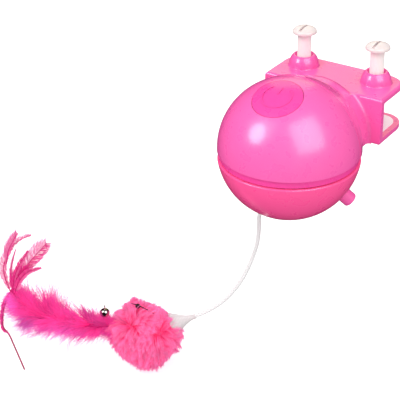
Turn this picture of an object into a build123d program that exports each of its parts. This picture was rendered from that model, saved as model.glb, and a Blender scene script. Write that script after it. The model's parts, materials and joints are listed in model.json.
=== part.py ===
"""Cat toy: a ball that clamps to a table edge, with a turning laser bowl and a feather mouse on a cord.

The origin is the centre of the jaw pad's upper face, where the underside of the table rests.
+Z is up, +Y points into the table and the ball hangs out in front, towards -Y.
"""

import os
from math import atan2, cos, pi, radians, sin, sqrt, tan

from build123d import *

os.makedirs("parts", exist_ok=True)

# General clearances and joins
cut_over = 1.0
sink = 0.4
slip = 0.15
close_fit = 0.05
seat_gap = 0.1

# Ball and its seams, heights measured from the ball's centre
ball_r = 40.0
shell_wall = 2.4
dome_low = 0.5
band_drop = 1.1
band_low = 4.7
bowl_gap = 0.6
bowl_proud = 0.3
bowl_wall = 2.2
rim_round = 0.8
seam_back = 10.0
seam_lip = 1.2
seam_lip_reach = 3.5

# Clamp bracket
clamp_width = 75.0
clamp_height = 28.0
clamp_reach = 34.1
wall_nest = 4.0
wall_thick = 3.2
plate_thick = 3.0
jaw_thick = 3.6
corner_r = 12.0
edge_r = 1.6
throat_r = 0.6
cup_proud = 0.25
neck_inset = 9.95
neck_wall = 2.5
neck_blend = 6.0
neck_flare = 2.2
neck_floor = 2.5
neck_nest = 8.0
shoulder_lead = 2.34
shoulder_reach = 11.0

# Jaw pad
pad_border = 3.5
pad_thick = 1.5
pad_proud = 0.3

# Screw bosses and clamp screws
screw_pitch = 46.8
screw_back = 20.3
boss_height = 7.1
boss_r = 8.7
boss_top_r = 6.6
boss_foot = 0.9
boss_round = 0.5
mouth_r = 5.5
mouth_depth = 2.6
shank_r = 4.0
screw_length = 25.0
screw_shown = 13.5
head_r = 7.0
head_rim = 0.7
head_dome = 2.9
slot_width = 1.6
slot_depth = 1.5
screw_tip = 0.8

# Power button
button_tilt = 21.4
button_r = 13.9
button_groove = 0.25
button_wall = 2.2
button_flange = 1.6
flange_thick = 1.2
button_travel = 0.8
stem_r = 1.7
symbol_r = 8.2
symbol_line = 0.8
symbol_proud = 0.3
symbol_gap = 86.0
symbol_bar = 6.1
symbol_bar_start = 0.8

# Control board and its switch
board_drop = 11.6
board_length = 42.0
board_width = 16.0
board_thick = 1.2
board_post_x = 18.5
board_post_r = 2.2
board_screw_r = 1.0
board_screw_length = 6.0
board_screw_head_r = 1.9
board_screw_head = 1.2
switch_side = 6.0
switch_height = 3.4
plunger_rise = 1.4
plunger_sink = 0.8
chip_length = 7.0
chip_width = 4.4
chip_height = 1.0

# Chassis under the dome
floor_thick = 2.5
rim_wall = 2.5
lip_wall = 1.5
lip_rise = 2.5
post_r = 3.2
post_inset = 5.6
front_post_angle = 34.0
rear_post_angle = 42.0
case_screw_r = 1.25
case_screw_length = 9.0
case_screw_head_r = 2.4
case_screw_head = 1.6

# Gear train
gear_module = 0.5
gear_layers = 3
pinion_teeth = 10
wheel_teeth = 36
output_teeth = 60
gear_face = 1.8
layer_gap = 0.4
pin_r = 1.0
pin_sink = 1.5
hub_r = 2.6
tooth_tip_share = 0.11
tooth_root_share = 0.31
root_depth_share = 1.2
gear_plate_thick = 1.2
gear_plate_r = 28.5
plate_post_r = 2.6
plate_post_radius = 24.8
plate_post_angles = (-33.0, 35.0, 141.0)
second_gear_angle = 207.6
first_gear_angle = -68.5
motor_angle = -11.0
light_holes = 6
light_hole_r = 2.6
light_hole_radius = 9.6
hub_step_r = 1.7
plate_screw_r = 1.0
plate_screw_length = 5.0
plate_screw_head_r = 2.0
plate_screw_head = 1.3

# Motor
motor_r = 7.75
motor_height = 11.5
motor_flat = 6.2
motor_nose_r = 2.5
motor_bore = 8.0
motor_cap_r = 4.6
motor_tab = 1.6
motor_tab_thick = 0.4
motor_tab_pitch = 7.0
motor_shaft_r = 1.0
motor_cap = 1.6

# Spindle, bush, contact rings
spindle_r = 3.5
spindle_bore_r = 2.0
spindle_tail = 9.0
spindle_flat = 2.8
bush_r = 5.0
bush_flange_r = 6.5
bush_flange = 0.3
ring_sleeve_r = 4.1
ring_r = 4.6
ring_height = 1.1
ring_pitch = 2.0
ring_first = 0.6
sleeve_low = 0.1
spindle_top = 4.6
brush_past = 1.5
brush_thick = 0.25
brush_near = 9.0
brush_holder = 4.0
brush_half = 6.5
clip_thick = 0.8
clip_r = 5.2
groove_depth = 0.6

# Batteries, tray and door
cell_r = 5.15
cell_length = 44.5
cell_nub_r = 1.9
cell_nub = 0.8
cell_gap = 0.4
tray_wall = 1.0
tray_height = 9.6
contact_thick = 0.3
contact_height = 7.0
contact_spring = 0.9
contact_spring_r = 2.2
contact_half = 4.0
contact_taper = 30.0
door_thick = 1.2
door_lap = 1.0
door_notch_r = 3.0
door_notch = 0.6
door_rib = 2.0
door_draw = 20.0

# Bowl cover
cover_drop = 0.7
cover_thick = 2.0
cover_hub_r = 6.5
cover_hub = 6.0
hub_gap = 0.5
bowl_post_r = 3.0
bowl_post_inset = 7.6
bowl_post_angles = (90.0, 210.0, 330.0)

# Laser, which points away from the cord in the toy's plane
toy_turn = 34.2
laser_drop = 44.0
nose_r = 4.3
nose_reach = 9.1
nose_round = 1.0
nose_sunk = 5.0
nose_flange_r = 5.8
nose_flange = 1.4
barrel_r = 3.0
barrel_length = 13.6
lens_back = 2.8
beam_r = 1.3
lens_r = 2.4
lens_thick = 1.2
barrel_wall = 0.5
driver_thick = 1.0

# Cord: its route in the toy's plane, from the grommet to the mouse's nose
cord_r = 1.25
cord_tilt = 21.3
grommet_r = 3.4
grommet_flange_r = 4.4
grommet_flange = 0.9
grommet_sunk = 1.5
knot_r = 3.2
knot_sunk = 3.9
cord_lead = 0.5
cord_bend_share = 0.45
cord_route = [
    (-16.5, -42.3),
    (-16.2, -49.8),
    (-16.8, -61.0),
    (-20.8, -75.0),
    (-28.2, -91.5),
    (-41.5, -106.5),
    (-53.5, -111.8),
]

# Mouse, laid out in the toy's plane
body_axis = -124.2
body_back = -102.5
body_middle = -84.0
body_front = -64.0
body_r = 18.4
muzzle_tip_r = 1.6
muzzle_neck = 4.0
muzzle_neck_r = 1.9
muzzle_length = 20.0
muzzle_r = 8.0
eye_r = 1.5
eye_back = 3.8
eye_up_angle = 5.0
eye_far_angle = 82.0
bell_r = 2.9
bell_wall = 0.35
bell_slit_share = 0.6
bell_slot = 0.8
bell_back = 5.1
bell_rise = 15.9
bell_loop_r = 1.1
bell_wire_r = 0.3
pellet_r = 0.9
tail_sunk = 5.5
tail_length = 64.6
tail_rise = 34.2
tail_r = 13.0
tail_shares = [
    (0.0, 0.18, 0.35),
    (0.185, 0.195, 0.5),
    (0.365, 0.28, 0.77),
    (0.58, 0.435, 1.0),
    (0.775, 0.63, 0.945),
    (0.92, 0.835, 0.615),
    (1.0, 1.0, 0.245),
]
feather_thick = 0.8
feather_pitch = 1.4
feather_length = 40.0
feather_shares = [
    (0.0, (0.01, -0.02), (-0.175, 0.45), (0.198, 0.968), (0.025, 0.475)),
    (-1.0, (0.025, -0.015), (0.155, 0.54), (0.655, 0.793), (0.345, 0.34)),
    (1.0, (0.03, -0.02), (0.15, 0.5), (0.313, 0.683), (0.23, 0.415)),
    (1.86, (0.02, -0.03), (0.25, 0.335), (0.485, 0.42), (0.3, 0.235)),
]
quill_r = 0.5
quill_drop = 52.4
quill_shares = [
    (0.004, 0.019, -0.015),
    (-0.111, 0.029, -0.229),
    (-0.137, 0.057, -0.477),
    (-0.061, 0.105, -0.546),
    (0.084, 0.172, -1.0),
]

# Places that follow from the sizes above
dome_inner_r = ball_r - shell_wall
cup_r = ball_r + cup_proud
band_r = ball_r - band_drop
bowl_r = ball_r + bowl_proud
bowl_inner_r = bowl_r - bowl_wall
bowl_top = -band_low - bowl_gap
floor_top = -band_low + floor_thick
plate_top = clamp_height - band_low
plate_under = plate_top - plate_thick
jaw_top = -band_low + jaw_thick
wall_front = ball_r - wall_nest
wall_back = wall_front + wall_thick
clamp_back = wall_front + clamp_reach
pad_front = wall_back + slip
pad_back = clamp_back - pad_border
ball_y = -(pad_front + pad_back) / 2
ball_z = -(jaw_top + pad_proud)
screw_y = wall_front + screw_back
boss_top = plate_top + boss_height
head_under = boss_top + screw_shown
neck_r = cup_r - neck_inset
neck_inner_r = neck_r - neck_wall
neck_start = wall_front - neck_nest
shoulder_end = wall_front + shoulder_reach
board_height = dome_inner_r - board_drop
post_radius = dome_inner_r - post_inset
bowl_post_radius = bowl_inner_r - bowl_post_inset
nose_inner = bowl_inner_r - nose_sunk
nose_tip = bowl_r + nose_reach
barrel_front = nose_tip - lens_back
grommet_inner = bowl_inner_r - grommet_sunk
knot_place = bowl_inner_r - knot_sunk
cord_start = bowl_inner_r + cord_lead

gear_low = floor_top + bush_flange + seat_gap
gear_step = gear_face + layer_gap
gear_plate_low = gear_low + gear_layers * gear_step
gear_plate_top = gear_plate_low + gear_plate_thick
cover_top = bowl_top - cover_drop
cover_low = cover_top - cover_thick
cell_pitch = 2 * cell_r + cell_gap
cell_axis = gear_plate_top + tray_wall + seat_gap + cell_r
bay_half = (3 * cell_pitch) / 2
bay_low = gear_plate_top + tray_wall
bay_high = cell_axis + cell_r + cell_gap
cell_back = wall_back - door_thick - contact_thick - contact_spring
cell_front = cell_back - cell_length
tray_front = cell_front - contact_thick - tray_wall

# Reference planes and axes
ball = Vector(0, ball_y, ball_z)
ball_plane = Plane(ball)
side = Plane(ball, x_dir=(0, 1, 0), z_dir=(1, 0, 0))
neck_axis = Axis(ball, (0, 1, 0))
press_way = Vector(0, -sin(radians(button_tilt)), cos(radians(button_tilt)))
press_plane = Plane(ball, x_dir=(1, 0, 0), z_dir=press_way)
toy_out = Vector(cos(radians(toy_turn)), sin(radians(toy_turn)), 0)
toy_face = Vector(sin(radians(toy_turn)), -cos(radians(toy_turn)), 0)
toy_plane = Plane(ball, x_dir=toy_out, z_dir=toy_face)
laser_way = toy_out * cos(radians(laser_drop)) - Vector(0, 0, sin(radians(laser_drop)))
laser_plane = Plane(ball, x_dir=toy_face, z_dir=laser_way)
cord_way = toy_out * -sin(radians(cord_tilt)) - Vector(0, 0, cos(radians(cord_tilt)))
cord_plane = Plane(ball, x_dir=toy_face, z_dir=cord_way)


def level(height):
    """Horizontal plane at a height above the ball's centre."""
    return ball_plane.offset(height)


def upright(place):
    """Horizontal plane whose origin is moved sideways from the ball's centre."""
    return Plane(ball + Vector(place[0], place[1], 0))


def around(radius, angle):
    """Place on a horizontal circle about the ball's axis."""
    return (radius * cos(radians(angle)), radius * sin(radians(angle)))


def toy_point(out, up, near=0):
    """Point given along the toy's plane, upwards, and out of the plane."""
    return ball + toy_out * out + Vector(0, 0, up) + toy_face * near


def chord(radius, across):
    """Half chord of a circle at a distance across from its centre."""
    return sqrt(radius**2 - across**2)


def tube(plane, low, high, outer_r, inner_r=0, mode=Mode.ADD):
    """Round bar or tube along a plane's normal, between two heights."""
    with BuildSketch(plane.offset(low)) as section:
        Circle(outer_r)
        if inner_r:
            Circle(inner_r, mode=Mode.SUBTRACT)
    extrude(section.sketch, amount=high - low, mode=mode)


def block(x_span, y_span, z_span, mode=Mode.ADD):
    """Box between six faces, measured from the ball's centre."""
    with BuildSketch(level(z_span[0])) as section:
        with Locations(((x_span[0] + x_span[1]) / 2, (y_span[0] + y_span[1]) / 2)):
            Rectangle(x_span[1] - x_span[0], y_span[1] - y_span[0])
    extrude(section.sketch, amount=z_span[1] - z_span[0], mode=mode)


def ball_form(radius, mode=Mode.ADD):
    """Sphere about the ball's centre."""
    with Locations(ball):
        Sphere(radius, mode=mode)


def screws(planes, low, length, shank, head, head_thick, up=1):
    """Group of round-headed screws: the head's inner face is at low and the shank runs up or down."""
    for plane in planes:
        tube(plane, low, low + up * length, shank)
        tube(plane, low - up * head_thick, low, head)


# Bracket's outer form: the cup behind the dome runs into a round neck, on a side section
cup_start = (seam_back, chord(cup_r, seam_back))
blend_centre = (chord(cup_r + neck_blend, neck_r + neck_blend), neck_r + neck_blend)
blend_share = cup_r / (cup_r + neck_blend)
cup_end = (blend_centre[0] * blend_share, blend_centre[1] * blend_share)
blend_turn = (atan2(-blend_centre[1], -blend_centre[0]) - pi / 2) / 2
blend_middle = (
    blend_centre[0] + neck_blend * cos(blend_turn),
    blend_centre[1] + neck_blend * sin(blend_turn),
)
neck_begin = (blend_centre[0], neck_r)
inner_end = (chord(dome_inner_r, neck_inner_r), neck_inner_r)
inner_start = (seam_back, chord(dome_inner_r, seam_back))


def sphere_arc(start, end):
    """Arc about the ball's centre between two points of a section."""
    turn = (atan2(start[1], start[0]) + atan2(end[1], end[0])) / 2
    radius = sqrt(start[0] ** 2 + start[1] ** 2)
    ThreePointArc(start, (radius * cos(turn), radius * sin(turn)), end)


def cup_lines(outline_end):
    """Section lines that the neck and its shoulder share, round to the end of their own outline."""
    sphere_arc(cup_start, cup_end)
    ThreePointArc(cup_end, blend_middle, neck_begin)
    Line(outline_end, inner_end)
    sphere_arc(inner_end, inner_start)
    Line(inner_start, cup_start)


# Round neck, which flares to the wall's front face
flare_start = (wall_front - neck_flare, neck_r)
flare_end = (wall_front, neck_r + neck_flare)
neck_end = (wall_front + sink, neck_inner_r)
with BuildPart() as neck_form:
    with BuildSketch(side):
        with BuildLine():
            cup_lines(neck_end)
            Line(neck_begin, flare_start)
            TangentArc(flare_start, flare_end, tangent=(1, 0))
            Polyline(flare_end, (neck_end[0], flare_end[1]), neck_end)
        make_face()
    revolve(axis=neck_axis)
    block(
        (-clamp_width, clamp_width),
        (-ball_r, clamp_back),
        (plate_top, plate_top + ball_r),
        mode=Mode.SUBTRACT,
    )

# Shoulder on top of the neck, which sinks into the clamp's plate in two equal arcs
shoulder_low = plate_under + sink
with BuildPart() as shoulder_form:
    with BuildSketch(side):
        with BuildLine():
            start = (neck_begin[0] + shoulder_lead, neck_r)
            end = (shoulder_end, plate_top - sink)
            middle = ((start[0] + end[0]) / 2, (start[1] + end[1]) / 2)
            cup_lines(neck_end)
            Line(neck_begin, start)
            TangentArc(start, middle, tangent=(1, 0))
            TangentArc(end, middle, tangent=(-1, 0))
            Polyline(end, (end[0], shoulder_low), (neck_end[0], shoulder_low), neck_end)
        make_face()
    revolve(axis=neck_axis)
    block(
        (-clamp_width, clamp_width),
        (-ball_r, clamp_back),
        (-clamp_width, plate_top - sink),
        mode=Mode.SUBTRACT,
    )

# Case posts, kept inside the shell; the front pair belongs to the dome and the rear pair to the bracket
front_posts = [around(post_radius, -front_post_angle), around(post_radius, front_post_angle - 180)]
rear_posts = [around(post_radius, rear_post_angle), around(post_radius, 180 - rear_post_angle)]


def case_posts(places):
    """Posts from the chassis up to the shell, with pilot holes for the case screws."""
    for place in places:
        tube(upright(place), floor_top, ball_r, post_r)
    ball_form(dome_inner_r + sink, mode=Mode.INTERSECT)
    for place in places:
        tube(
            upright(place),
            floor_top - cut_over,
            floor_top + case_screw_length,
            case_screw_r + close_fit,
            mode=Mode.SUBTRACT,
        )


with BuildPart() as rear_post_form:
    case_posts(rear_posts)

# Screw boss, drawn as a half section: a bell on a small flared foot, with a wider mouth over the bore
boss_places = [(-screw_pitch / 2, screw_y), (screw_pitch / 2, screw_y)]
bore_r = shank_r + close_fit


def screw_boss(place):
    """Boss on the plate, turned about a clamp screw's axis."""
    centre = ball + Vector(place[0], place[1], plate_top)
    with BuildSketch(Plane(centre, x_dir=(1, 0, 0), z_dir=(0, -1, 0))) as section:
        with BuildLine():
            foot = (boss_r + boss_foot, 0)
            waist = (boss_r, boss_foot)
            crown = (boss_top_r - boss_round, boss_height)
            Polyline((0, boss_height), (0, -sink), (foot[0], -sink), foot)
            TangentArc(foot, waist, tangent=(-1, 0))
            flank = TangentArc(waist, (boss_top_r, boss_height - boss_round), tangent=(0, 1))
            TangentArc(flank @ 1, crown, tangent=flank % 1)
            Line(crown, (0, boss_height))
        make_face()
    revolve(section.sketch, axis=Axis(centre, (0, 0, 1)))


# Clamp bracket: plate, wall and jaw in one channel, with the neck, its shoulder and the screw bosses
door_half = bay_half + door_lap
door_low = bay_low - door_lap
door_high = bay_high + door_lap
pad_half = clamp_width / 2 - pad_border
pad_r = corner_r - pad_border
with BuildPart() as clamp_bracket:
    with BuildSketch(level(-band_low)):
        with Locations((0, (wall_front + clamp_back) / 2)):
            plan = Rectangle(clamp_width, clamp_reach)
        fillet(plan.vertices().group_by(Axis.Y)[-1], corner_r)
        fillet(plan.vertices().group_by(Axis.Y)[0], edge_r)
    extrude(amount=clamp_height)
    fillet(clamp_bracket.faces().sort_by(Axis.Z)[-1].edges(), edge_r)
    fillet(clamp_bracket.faces().sort_by(Axis.Z)[0].edges(), edge_r)
    with BuildSketch(side):
        with BuildLine():
            Polyline(
                (clamp_back + cut_over, plate_under),
                (wall_back, plate_under),
                (wall_back, jaw_top),
                (clamp_back + cut_over, jaw_top),
                close=True,
            )
        make_face()
    extrude(amount=clamp_width, both=True, mode=Mode.SUBTRACT)
    fillet(
        clamp_bracket.edges()
        .filter_by(Axis.X)
        .filter_by_position(Axis.Y, ball_y + wall_back - close_fit, ball_y + wall_back + close_fit),
        throat_r,
    )
    add(neck_form.part)
    block(
        (-clamp_width, clamp_width),
        (-ball_r, neck_start),
        (-ball_r, -dome_low),
        mode=Mode.SUBTRACT,
    )
    block(
        (-clamp_width, clamp_width),
        (-ball_r, clamp_back),
        (-ball_r, -band_low),
        mode=Mode.SUBTRACT,
    )
    block((-neck_r + neck_wall / 2, neck_r - neck_wall / 2), (neck_start, wall_front), (-band_low, floor_top))
    add(shoulder_form.part)
    add(rear_post_form.part)
    for place in boss_places:
        screw_boss(place)
    for place in boss_places:
        tube(upright(place), plate_under - cut_over, boss_top + cut_over, bore_r, mode=Mode.SUBTRACT)
        with BuildSketch(level(boss_top - mouth_depth)):
            with Locations(place):
                Circle(bore_r)
        with BuildSketch(level(boss_top)):
            with Locations(place):
                Circle(mouth_r)
        loft(mode=Mode.SUBTRACT)
    block(
        (-bay_half, bay_half),
        (wall_front - cut_over, wall_back + cut_over),
        (bay_low, bay_high),
        mode=Mode.SUBTRACT,
    )
    block(
        (-door_half, door_half),
        (wall_back - door_thick, wall_back + cut_over),
        (door_low, door_high),
        mode=Mode.SUBTRACT,
    )
    with BuildSketch(level(jaw_top + pad_proud - pad_thick)):
        with Locations((0, (wall_back + pad_back + slip) / 2)):
            recess = Rectangle(2 * (pad_half + slip), pad_back + slip - wall_back)
        fillet(recess.vertices().group_by(Axis.Y)[-1], pad_r + slip)
    extrude(amount=pad_thick, mode=Mode.SUBTRACT)

# Soft pad let into the jaw
with BuildPart() as jaw_pad:
    with BuildSketch(level(jaw_top + pad_proud - pad_thick)):
        with Locations((0, (pad_front + pad_back) / 2)):
            outline = Rectangle(2 * pad_half, pad_back - pad_front)
        fillet(outline.vertices().group_by(Axis.Y)[-1], pad_r)
    extrude(amount=pad_thick)

# Clamp screws: slotted, domed heads on round shanks
screw_low = head_under - screw_length
head_height = head_rim + head_dome


def clamp_screw(place):
    """Nylon screw whose head stands clear of its boss."""
    centre = ball + Vector(place[0], place[1], head_under)
    with BuildSketch(Plane(centre, x_dir=(1, 0, 0), z_dir=(0, -1, 0))) as section:
        with BuildLine():
            Polyline(
                (0, head_height),
                (0, -screw_length),
                (shank_r - screw_tip, -screw_length),
                (shank_r, -screw_length + screw_tip),
                (shank_r, 0),
                (head_r, 0),
                (head_r, head_rim),
            )
            EllipticalCenterArc((0, head_rim), head_r, head_dome, start_angle=0, arc_size=90)
        make_face()
    revolve(section.sketch, axis=Axis(centre, (0, 0, 1)))
    block(
        (place[0] - slot_width / 2, place[0] + slot_width / 2),
        (place[1] - head_r - cut_over, place[1] + head_r + cut_over),
        (head_under + head_height - slot_depth, head_under + head_height + cut_over),
        mode=Mode.SUBTRACT,
    )


with BuildPart() as clamp_screw_left:
    clamp_screw(boss_places[0])

with BuildPart() as clamp_screw_right:
    clamp_screw(boss_places[1])

# Dome: front shell over the works, with the button's hole, its own posts and a lip inside the cup
board_posts = [(-board_post_x, 0), (board_post_x, 0)]


def press_spot(place):
    """Plane along the button's way, moved across it."""
    return Plane(press_plane.from_local_coords((place[0], place[1], 0)), x_dir=(1, 0, 0), z_dir=press_way)


with BuildPart() as dome_post_form:
    case_posts(front_posts)

with BuildPart() as board_post_form:
    for place in board_posts:
        tube(press_spot(place), board_height, ball_r, board_post_r)
    ball_form(dome_inner_r + sink, mode=Mode.INTERSECT)
    for place in board_posts:
        tube(
            press_spot(place),
            board_height - cut_over,
            board_height + board_screw_length,
            board_screw_r + close_fit,
            mode=Mode.SUBTRACT,
        )

lip_outer_r = dome_inner_r - slip
lip_top = -dome_low + floor_thick + lip_wall


def seam_lip_form(outer_r, start, end):
    """Part of the lip between two distances behind the ball's centre."""
    ball_form(outer_r)
    ball_form(lip_outer_r - seam_lip, mode=Mode.SUBTRACT)
    block((-ball_r, ball_r), (start, end), (lip_top, ball_r), mode=Mode.INTERSECT)


with BuildPart() as lip_root_form:
    seam_lip_form(dome_inner_r + sink, seam_back - seam_lip_reach, seam_back)

with BuildPart() as lip_reach_form:
    seam_lip_form(lip_outer_r, seam_back - sink, seam_back + seam_lip_reach)

with BuildPart() as dome:
    ball_form(ball_r)
    ball_form(dome_inner_r, mode=Mode.SUBTRACT)
    block((-ball_r, ball_r), (-ball_r, seam_back), (-dome_low, ball_r), mode=Mode.INTERSECT)
    add(dome_post_form.part)
    add(board_post_form.part)
    add(lip_root_form.part)
    add(lip_reach_form.part)
    tube(press_plane, board_height, ball_r + cut_over, button_r + button_groove, mode=Mode.SUBTRACT)

# Power button: a cap on the dome's own curve, with a flange that stops under the dome
cap_inner_r = ball_r - button_wall
flange_top_r = dome_inner_r - seat_gap
flange_low_r = flange_top_r - flange_thick
skirt_r = button_r - button_wall / 2
plunger_top = board_height + switch_height + plunger_rise

with BuildPart() as flange_form:
    ball_form(flange_top_r)
    tube(press_plane, 0, ball_r, button_r + button_flange, mode=Mode.INTERSECT)

with BuildPart() as cap_room:
    ball_form(cap_inner_r)
    tube(press_plane, 0, ball_r, skirt_r, mode=Mode.INTERSECT)

with BuildPart() as symbol_form:
    with BuildSketch(press_plane):
        with BuildLine(mode=Mode.PRIVATE) as symbol_arc:
            CenterArc((0, 0), symbol_r, 90 + symbol_gap / 2, 360 - symbol_gap)
        SlotArc(symbol_arc.wire(), symbol_line)
    extrude(amount=ball_r + cut_over)
    with BuildSketch(press_plane):
        with Locations((0, symbol_bar_start + symbol_bar / 2)):
            SlotOverall(symbol_bar, symbol_line, rotation=90)
    extrude(amount=ball_r + cut_over)
    ball_form(ball_r + symbol_proud, mode=Mode.INTERSECT)
    ball_form(ball_r - sink, mode=Mode.SUBTRACT)

with BuildPart() as power_button:
    ball_form(ball_r)
    tube(press_plane, 0, ball_r + cut_over, button_r, mode=Mode.INTERSECT)
    add(flange_form.part)
    ball_form(flange_low_r, mode=Mode.SUBTRACT)
    add(cap_room.part, mode=Mode.SUBTRACT)
    tube(press_plane, plunger_top, cap_inner_r + sink, stem_r)
    add(symbol_form.part)

# Push switch under the button: body on the board and plunger under the stem
with BuildPart() as switch_plunger:
    tube(press_plane, board_height + switch_height - plunger_sink, plunger_top, stem_r)

with BuildPart() as tact_switch:
    with BuildSketch(press_plane.offset(board_height)):
        Rectangle(switch_side, switch_side)
    extrude(amount=switch_height)
    fillet(tact_switch.edges().filter_by(Axis(ball, press_way)), symbol_line)
    tube(
        press_plane,
        board_height + switch_height - plunger_sink - button_travel - slip,
        board_height + switch_height + cut_over,
        stem_r + close_fit,
        mode=Mode.SUBTRACT,
    )

with BuildPart() as control_board:
    with BuildSketch(press_plane.offset(board_height - board_thick)):
        RectangleRounded(board_length, board_width, board_post_r)
        with Locations(*board_posts):
            Circle(board_screw_r + close_fit, mode=Mode.SUBTRACT)
    extrude(amount=board_thick)
    with BuildSketch(press_plane.offset(board_height - board_thick)):
        with Locations((-board_post_x / 2, 0), (board_post_x / 2, 0)):
            Rectangle(chip_length, chip_width)
    extrude(amount=-chip_height)

with BuildPart() as board_screws:
    screws(
        [press_spot(place) for place in board_posts],
        board_height - board_thick,
        board_screw_length,
        board_screw_r,
        board_screw_head_r,
        board_screw_head,
    )

# Gear train places: each axle lies one mesh away from the last, and the motor ends the chain
mesh_output = gear_module * (pinion_teeth + output_teeth) / 2
mesh_wheel = gear_module * (pinion_teeth + wheel_teeth) / 2
second_place = around(mesh_output, second_gear_angle)
first_step = around(mesh_wheel, first_gear_angle)
first_place = (second_place[0] + first_step[0], second_place[1] + first_step[1])
motor_step = around(mesh_wheel, motor_angle)
motor_place = (first_place[0] + motor_step[0], first_place[1] + motor_step[1])
plate_posts = [around(plate_post_radius, angle) for angle in plate_post_angles]
layer_lows = [gear_low + layer * gear_step for layer in range(gear_layers)]
pinion_turn = 180 + 180 / pinion_teeth


def toothed(place, teeth, phase, low):
    """Toothed disc on one layer, with a tooth at the phase angle."""
    pitch_r = gear_module * teeth / 2
    root_r = pitch_r - gear_module * root_depth_share
    tip_r = pitch_r + gear_module
    points = []
    for tooth in range(teeth):
        for radius, share in (
            (root_r, -tooth_root_share),
            (tip_r, -tooth_tip_share),
            (tip_r, tooth_tip_share),
            (root_r, tooth_root_share),
        ):
            points.append(around(radius, phase + (tooth + share) * 360 / teeth))
    with BuildSketch(upright(place).offset(low)) as section:
        with BuildLine():
            Polyline(*points, close=True)
        make_face()
    extrude(section.sketch, amount=gear_face)


def gear_cluster(place, wheel_phase, pinion_phase, pinion_low):
    """Wheel with its pinion on the layer below, turning on a pin."""
    toothed(place, pinion_teeth, pinion_phase, pinion_low)
    toothed(place, wheel_teeth, wheel_phase, pinion_low + gear_step)
    tube(upright(place), pinion_low + gear_face - close_fit, pinion_low + gear_step + close_fit, hub_step_r)
    with BuildSketch(upright(place).offset(pinion_low + gear_step)) as openings:
        with PolarLocations(light_hole_radius * wheel_teeth / output_teeth, light_holes):
            Circle(light_hole_r / 2)
    extrude(openings.sketch, amount=gear_face, mode=Mode.SUBTRACT)
    tube(
        upright(place),
        pinion_low - cut_over,
        pinion_low + gear_step + gear_face + cut_over,
        pin_r + close_fit,
        mode=Mode.SUBTRACT,
    )


def flatted(radius, flat, low, high, mode=Mode.ADD):
    """Round bar on the ball's axis with one flat side."""
    with BuildSketch(level(low)) as section:
        Circle(radius)
        with Locations((flat + radius, 0)):
            Rectangle(2 * radius, 2 * radius, mode=Mode.SUBTRACT)
    extrude(section.sketch, amount=high - low, mode=mode)


with BuildPart() as output_gear:
    toothed((0, 0), output_teeth, second_gear_angle, layer_lows[0])
    with BuildSketch(level(layer_lows[0])):
        with PolarLocations(light_hole_radius, light_holes):
            Circle(light_hole_r)
    extrude(amount=gear_face, mode=Mode.SUBTRACT)
    flatted(spindle_r, spindle_flat, layer_lows[0], layer_lows[0] + gear_face, mode=Mode.SUBTRACT)

with BuildPart() as second_gear:
    gear_cluster(second_place, first_gear_angle, second_gear_angle + pinion_turn, layer_lows[0])

with BuildPart() as first_gear:
    gear_cluster(first_place, motor_angle, first_gear_angle + pinion_turn, layer_lows[1])

with BuildPart() as motor_pinion:
    toothed(motor_place, pinion_teeth, motor_angle + pinion_turn, layer_lows[2])
    tube(
        upright(motor_place),
        layer_lows[2],
        layer_lows[2] + gear_face,
        motor_shaft_r,
        mode=Mode.SUBTRACT,
    )

# Motor on top of the gear plate: flatted can with a nose, a rear cap and two tabs
motor_top = gear_plate_top + motor_height
with BuildPart() as drive_motor:
    with BuildSketch(upright(motor_place).offset(gear_plate_top)):
        Circle(motor_r)
        Rectangle(2 * motor_r, 2 * motor_flat, mode=Mode.INTERSECT)
    extrude(amount=motor_height)
    fillet(drive_motor.faces().sort_by(Axis.Z)[-1].edges(), edge_r)
    tube(upright(motor_place), motor_top, motor_top + motor_cap, motor_cap_r)
    tube(upright(motor_place), gear_plate_low, gear_plate_top, motor_nose_r)
    with BuildSketch(upright(motor_place).offset(motor_top)):
        with GridLocations(2 * motor_cap_r + motor_tab, 0, 2, 1):
            Rectangle(motor_tab_thick, motor_tab)
    extrude(amount=motor_tab)
    tube(
        upright(motor_place),
        gear_plate_low - cut_over,
        gear_plate_top + motor_bore,
        motor_shaft_r + close_fit,
        mode=Mode.SUBTRACT,
    )

with BuildPart() as motor_shaft:
    tube(
        upright(motor_place),
        layer_lows[2],
        gear_plate_top + motor_bore - seat_gap,
        motor_shaft_r,
    )

# Chassis: floor of the ball with a rim, a lip inside the dome, and bosses for the gear train
case_places = front_posts + rear_posts
case_head_low = -band_low + case_screw_head + seat_gap
pin_places = [second_place, first_place]
pin_lows = [layer_lows[0], layer_lows[1]]
with BuildPart() as chassis:
    tube(ball_plane, -band_low, floor_top, band_r)
    tube(ball_plane, floor_top, -dome_low, band_r, band_r - rim_wall)
    lip_ring_r = chord(dome_inner_r, lip_rise) - slip
    tube(ball_plane, floor_top, lip_rise, lip_ring_r, lip_ring_r - lip_wall)
    fillet(chassis.faces().sort_by(Axis.Z)[0].edges(), symbol_proud)
    block(
        (-ball_r, ball_r),
        (neck_start - slip, ball_r),
        (-ball_r, ball_r),
        mode=Mode.SUBTRACT,
    )
    for place in plate_posts:
        tube(upright(place), floor_top, gear_plate_low, plate_post_r)
        tube(
            upright(place),
            gear_plate_top - plate_screw_length,
            gear_plate_low + cut_over,
            plate_screw_r + close_fit,
            mode=Mode.SUBTRACT,
        )
    for place, low in zip(pin_places, pin_lows):
        tube(upright(place), floor_top, low - seat_gap, hub_step_r)
        tube(upright(place), floor_top - pin_sink, low, pin_r, mode=Mode.SUBTRACT)
    for place in case_places:
        tube(upright(place), -band_low - cut_over, case_head_low, case_screw_head_r + slip, mode=Mode.SUBTRACT)
        tube(upright(place), -band_low, floor_top + cut_over, case_screw_r + slip, mode=Mode.SUBTRACT)
    tube(ball_plane, -band_low - cut_over, floor_top + cut_over, bush_r, mode=Mode.SUBTRACT)

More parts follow.
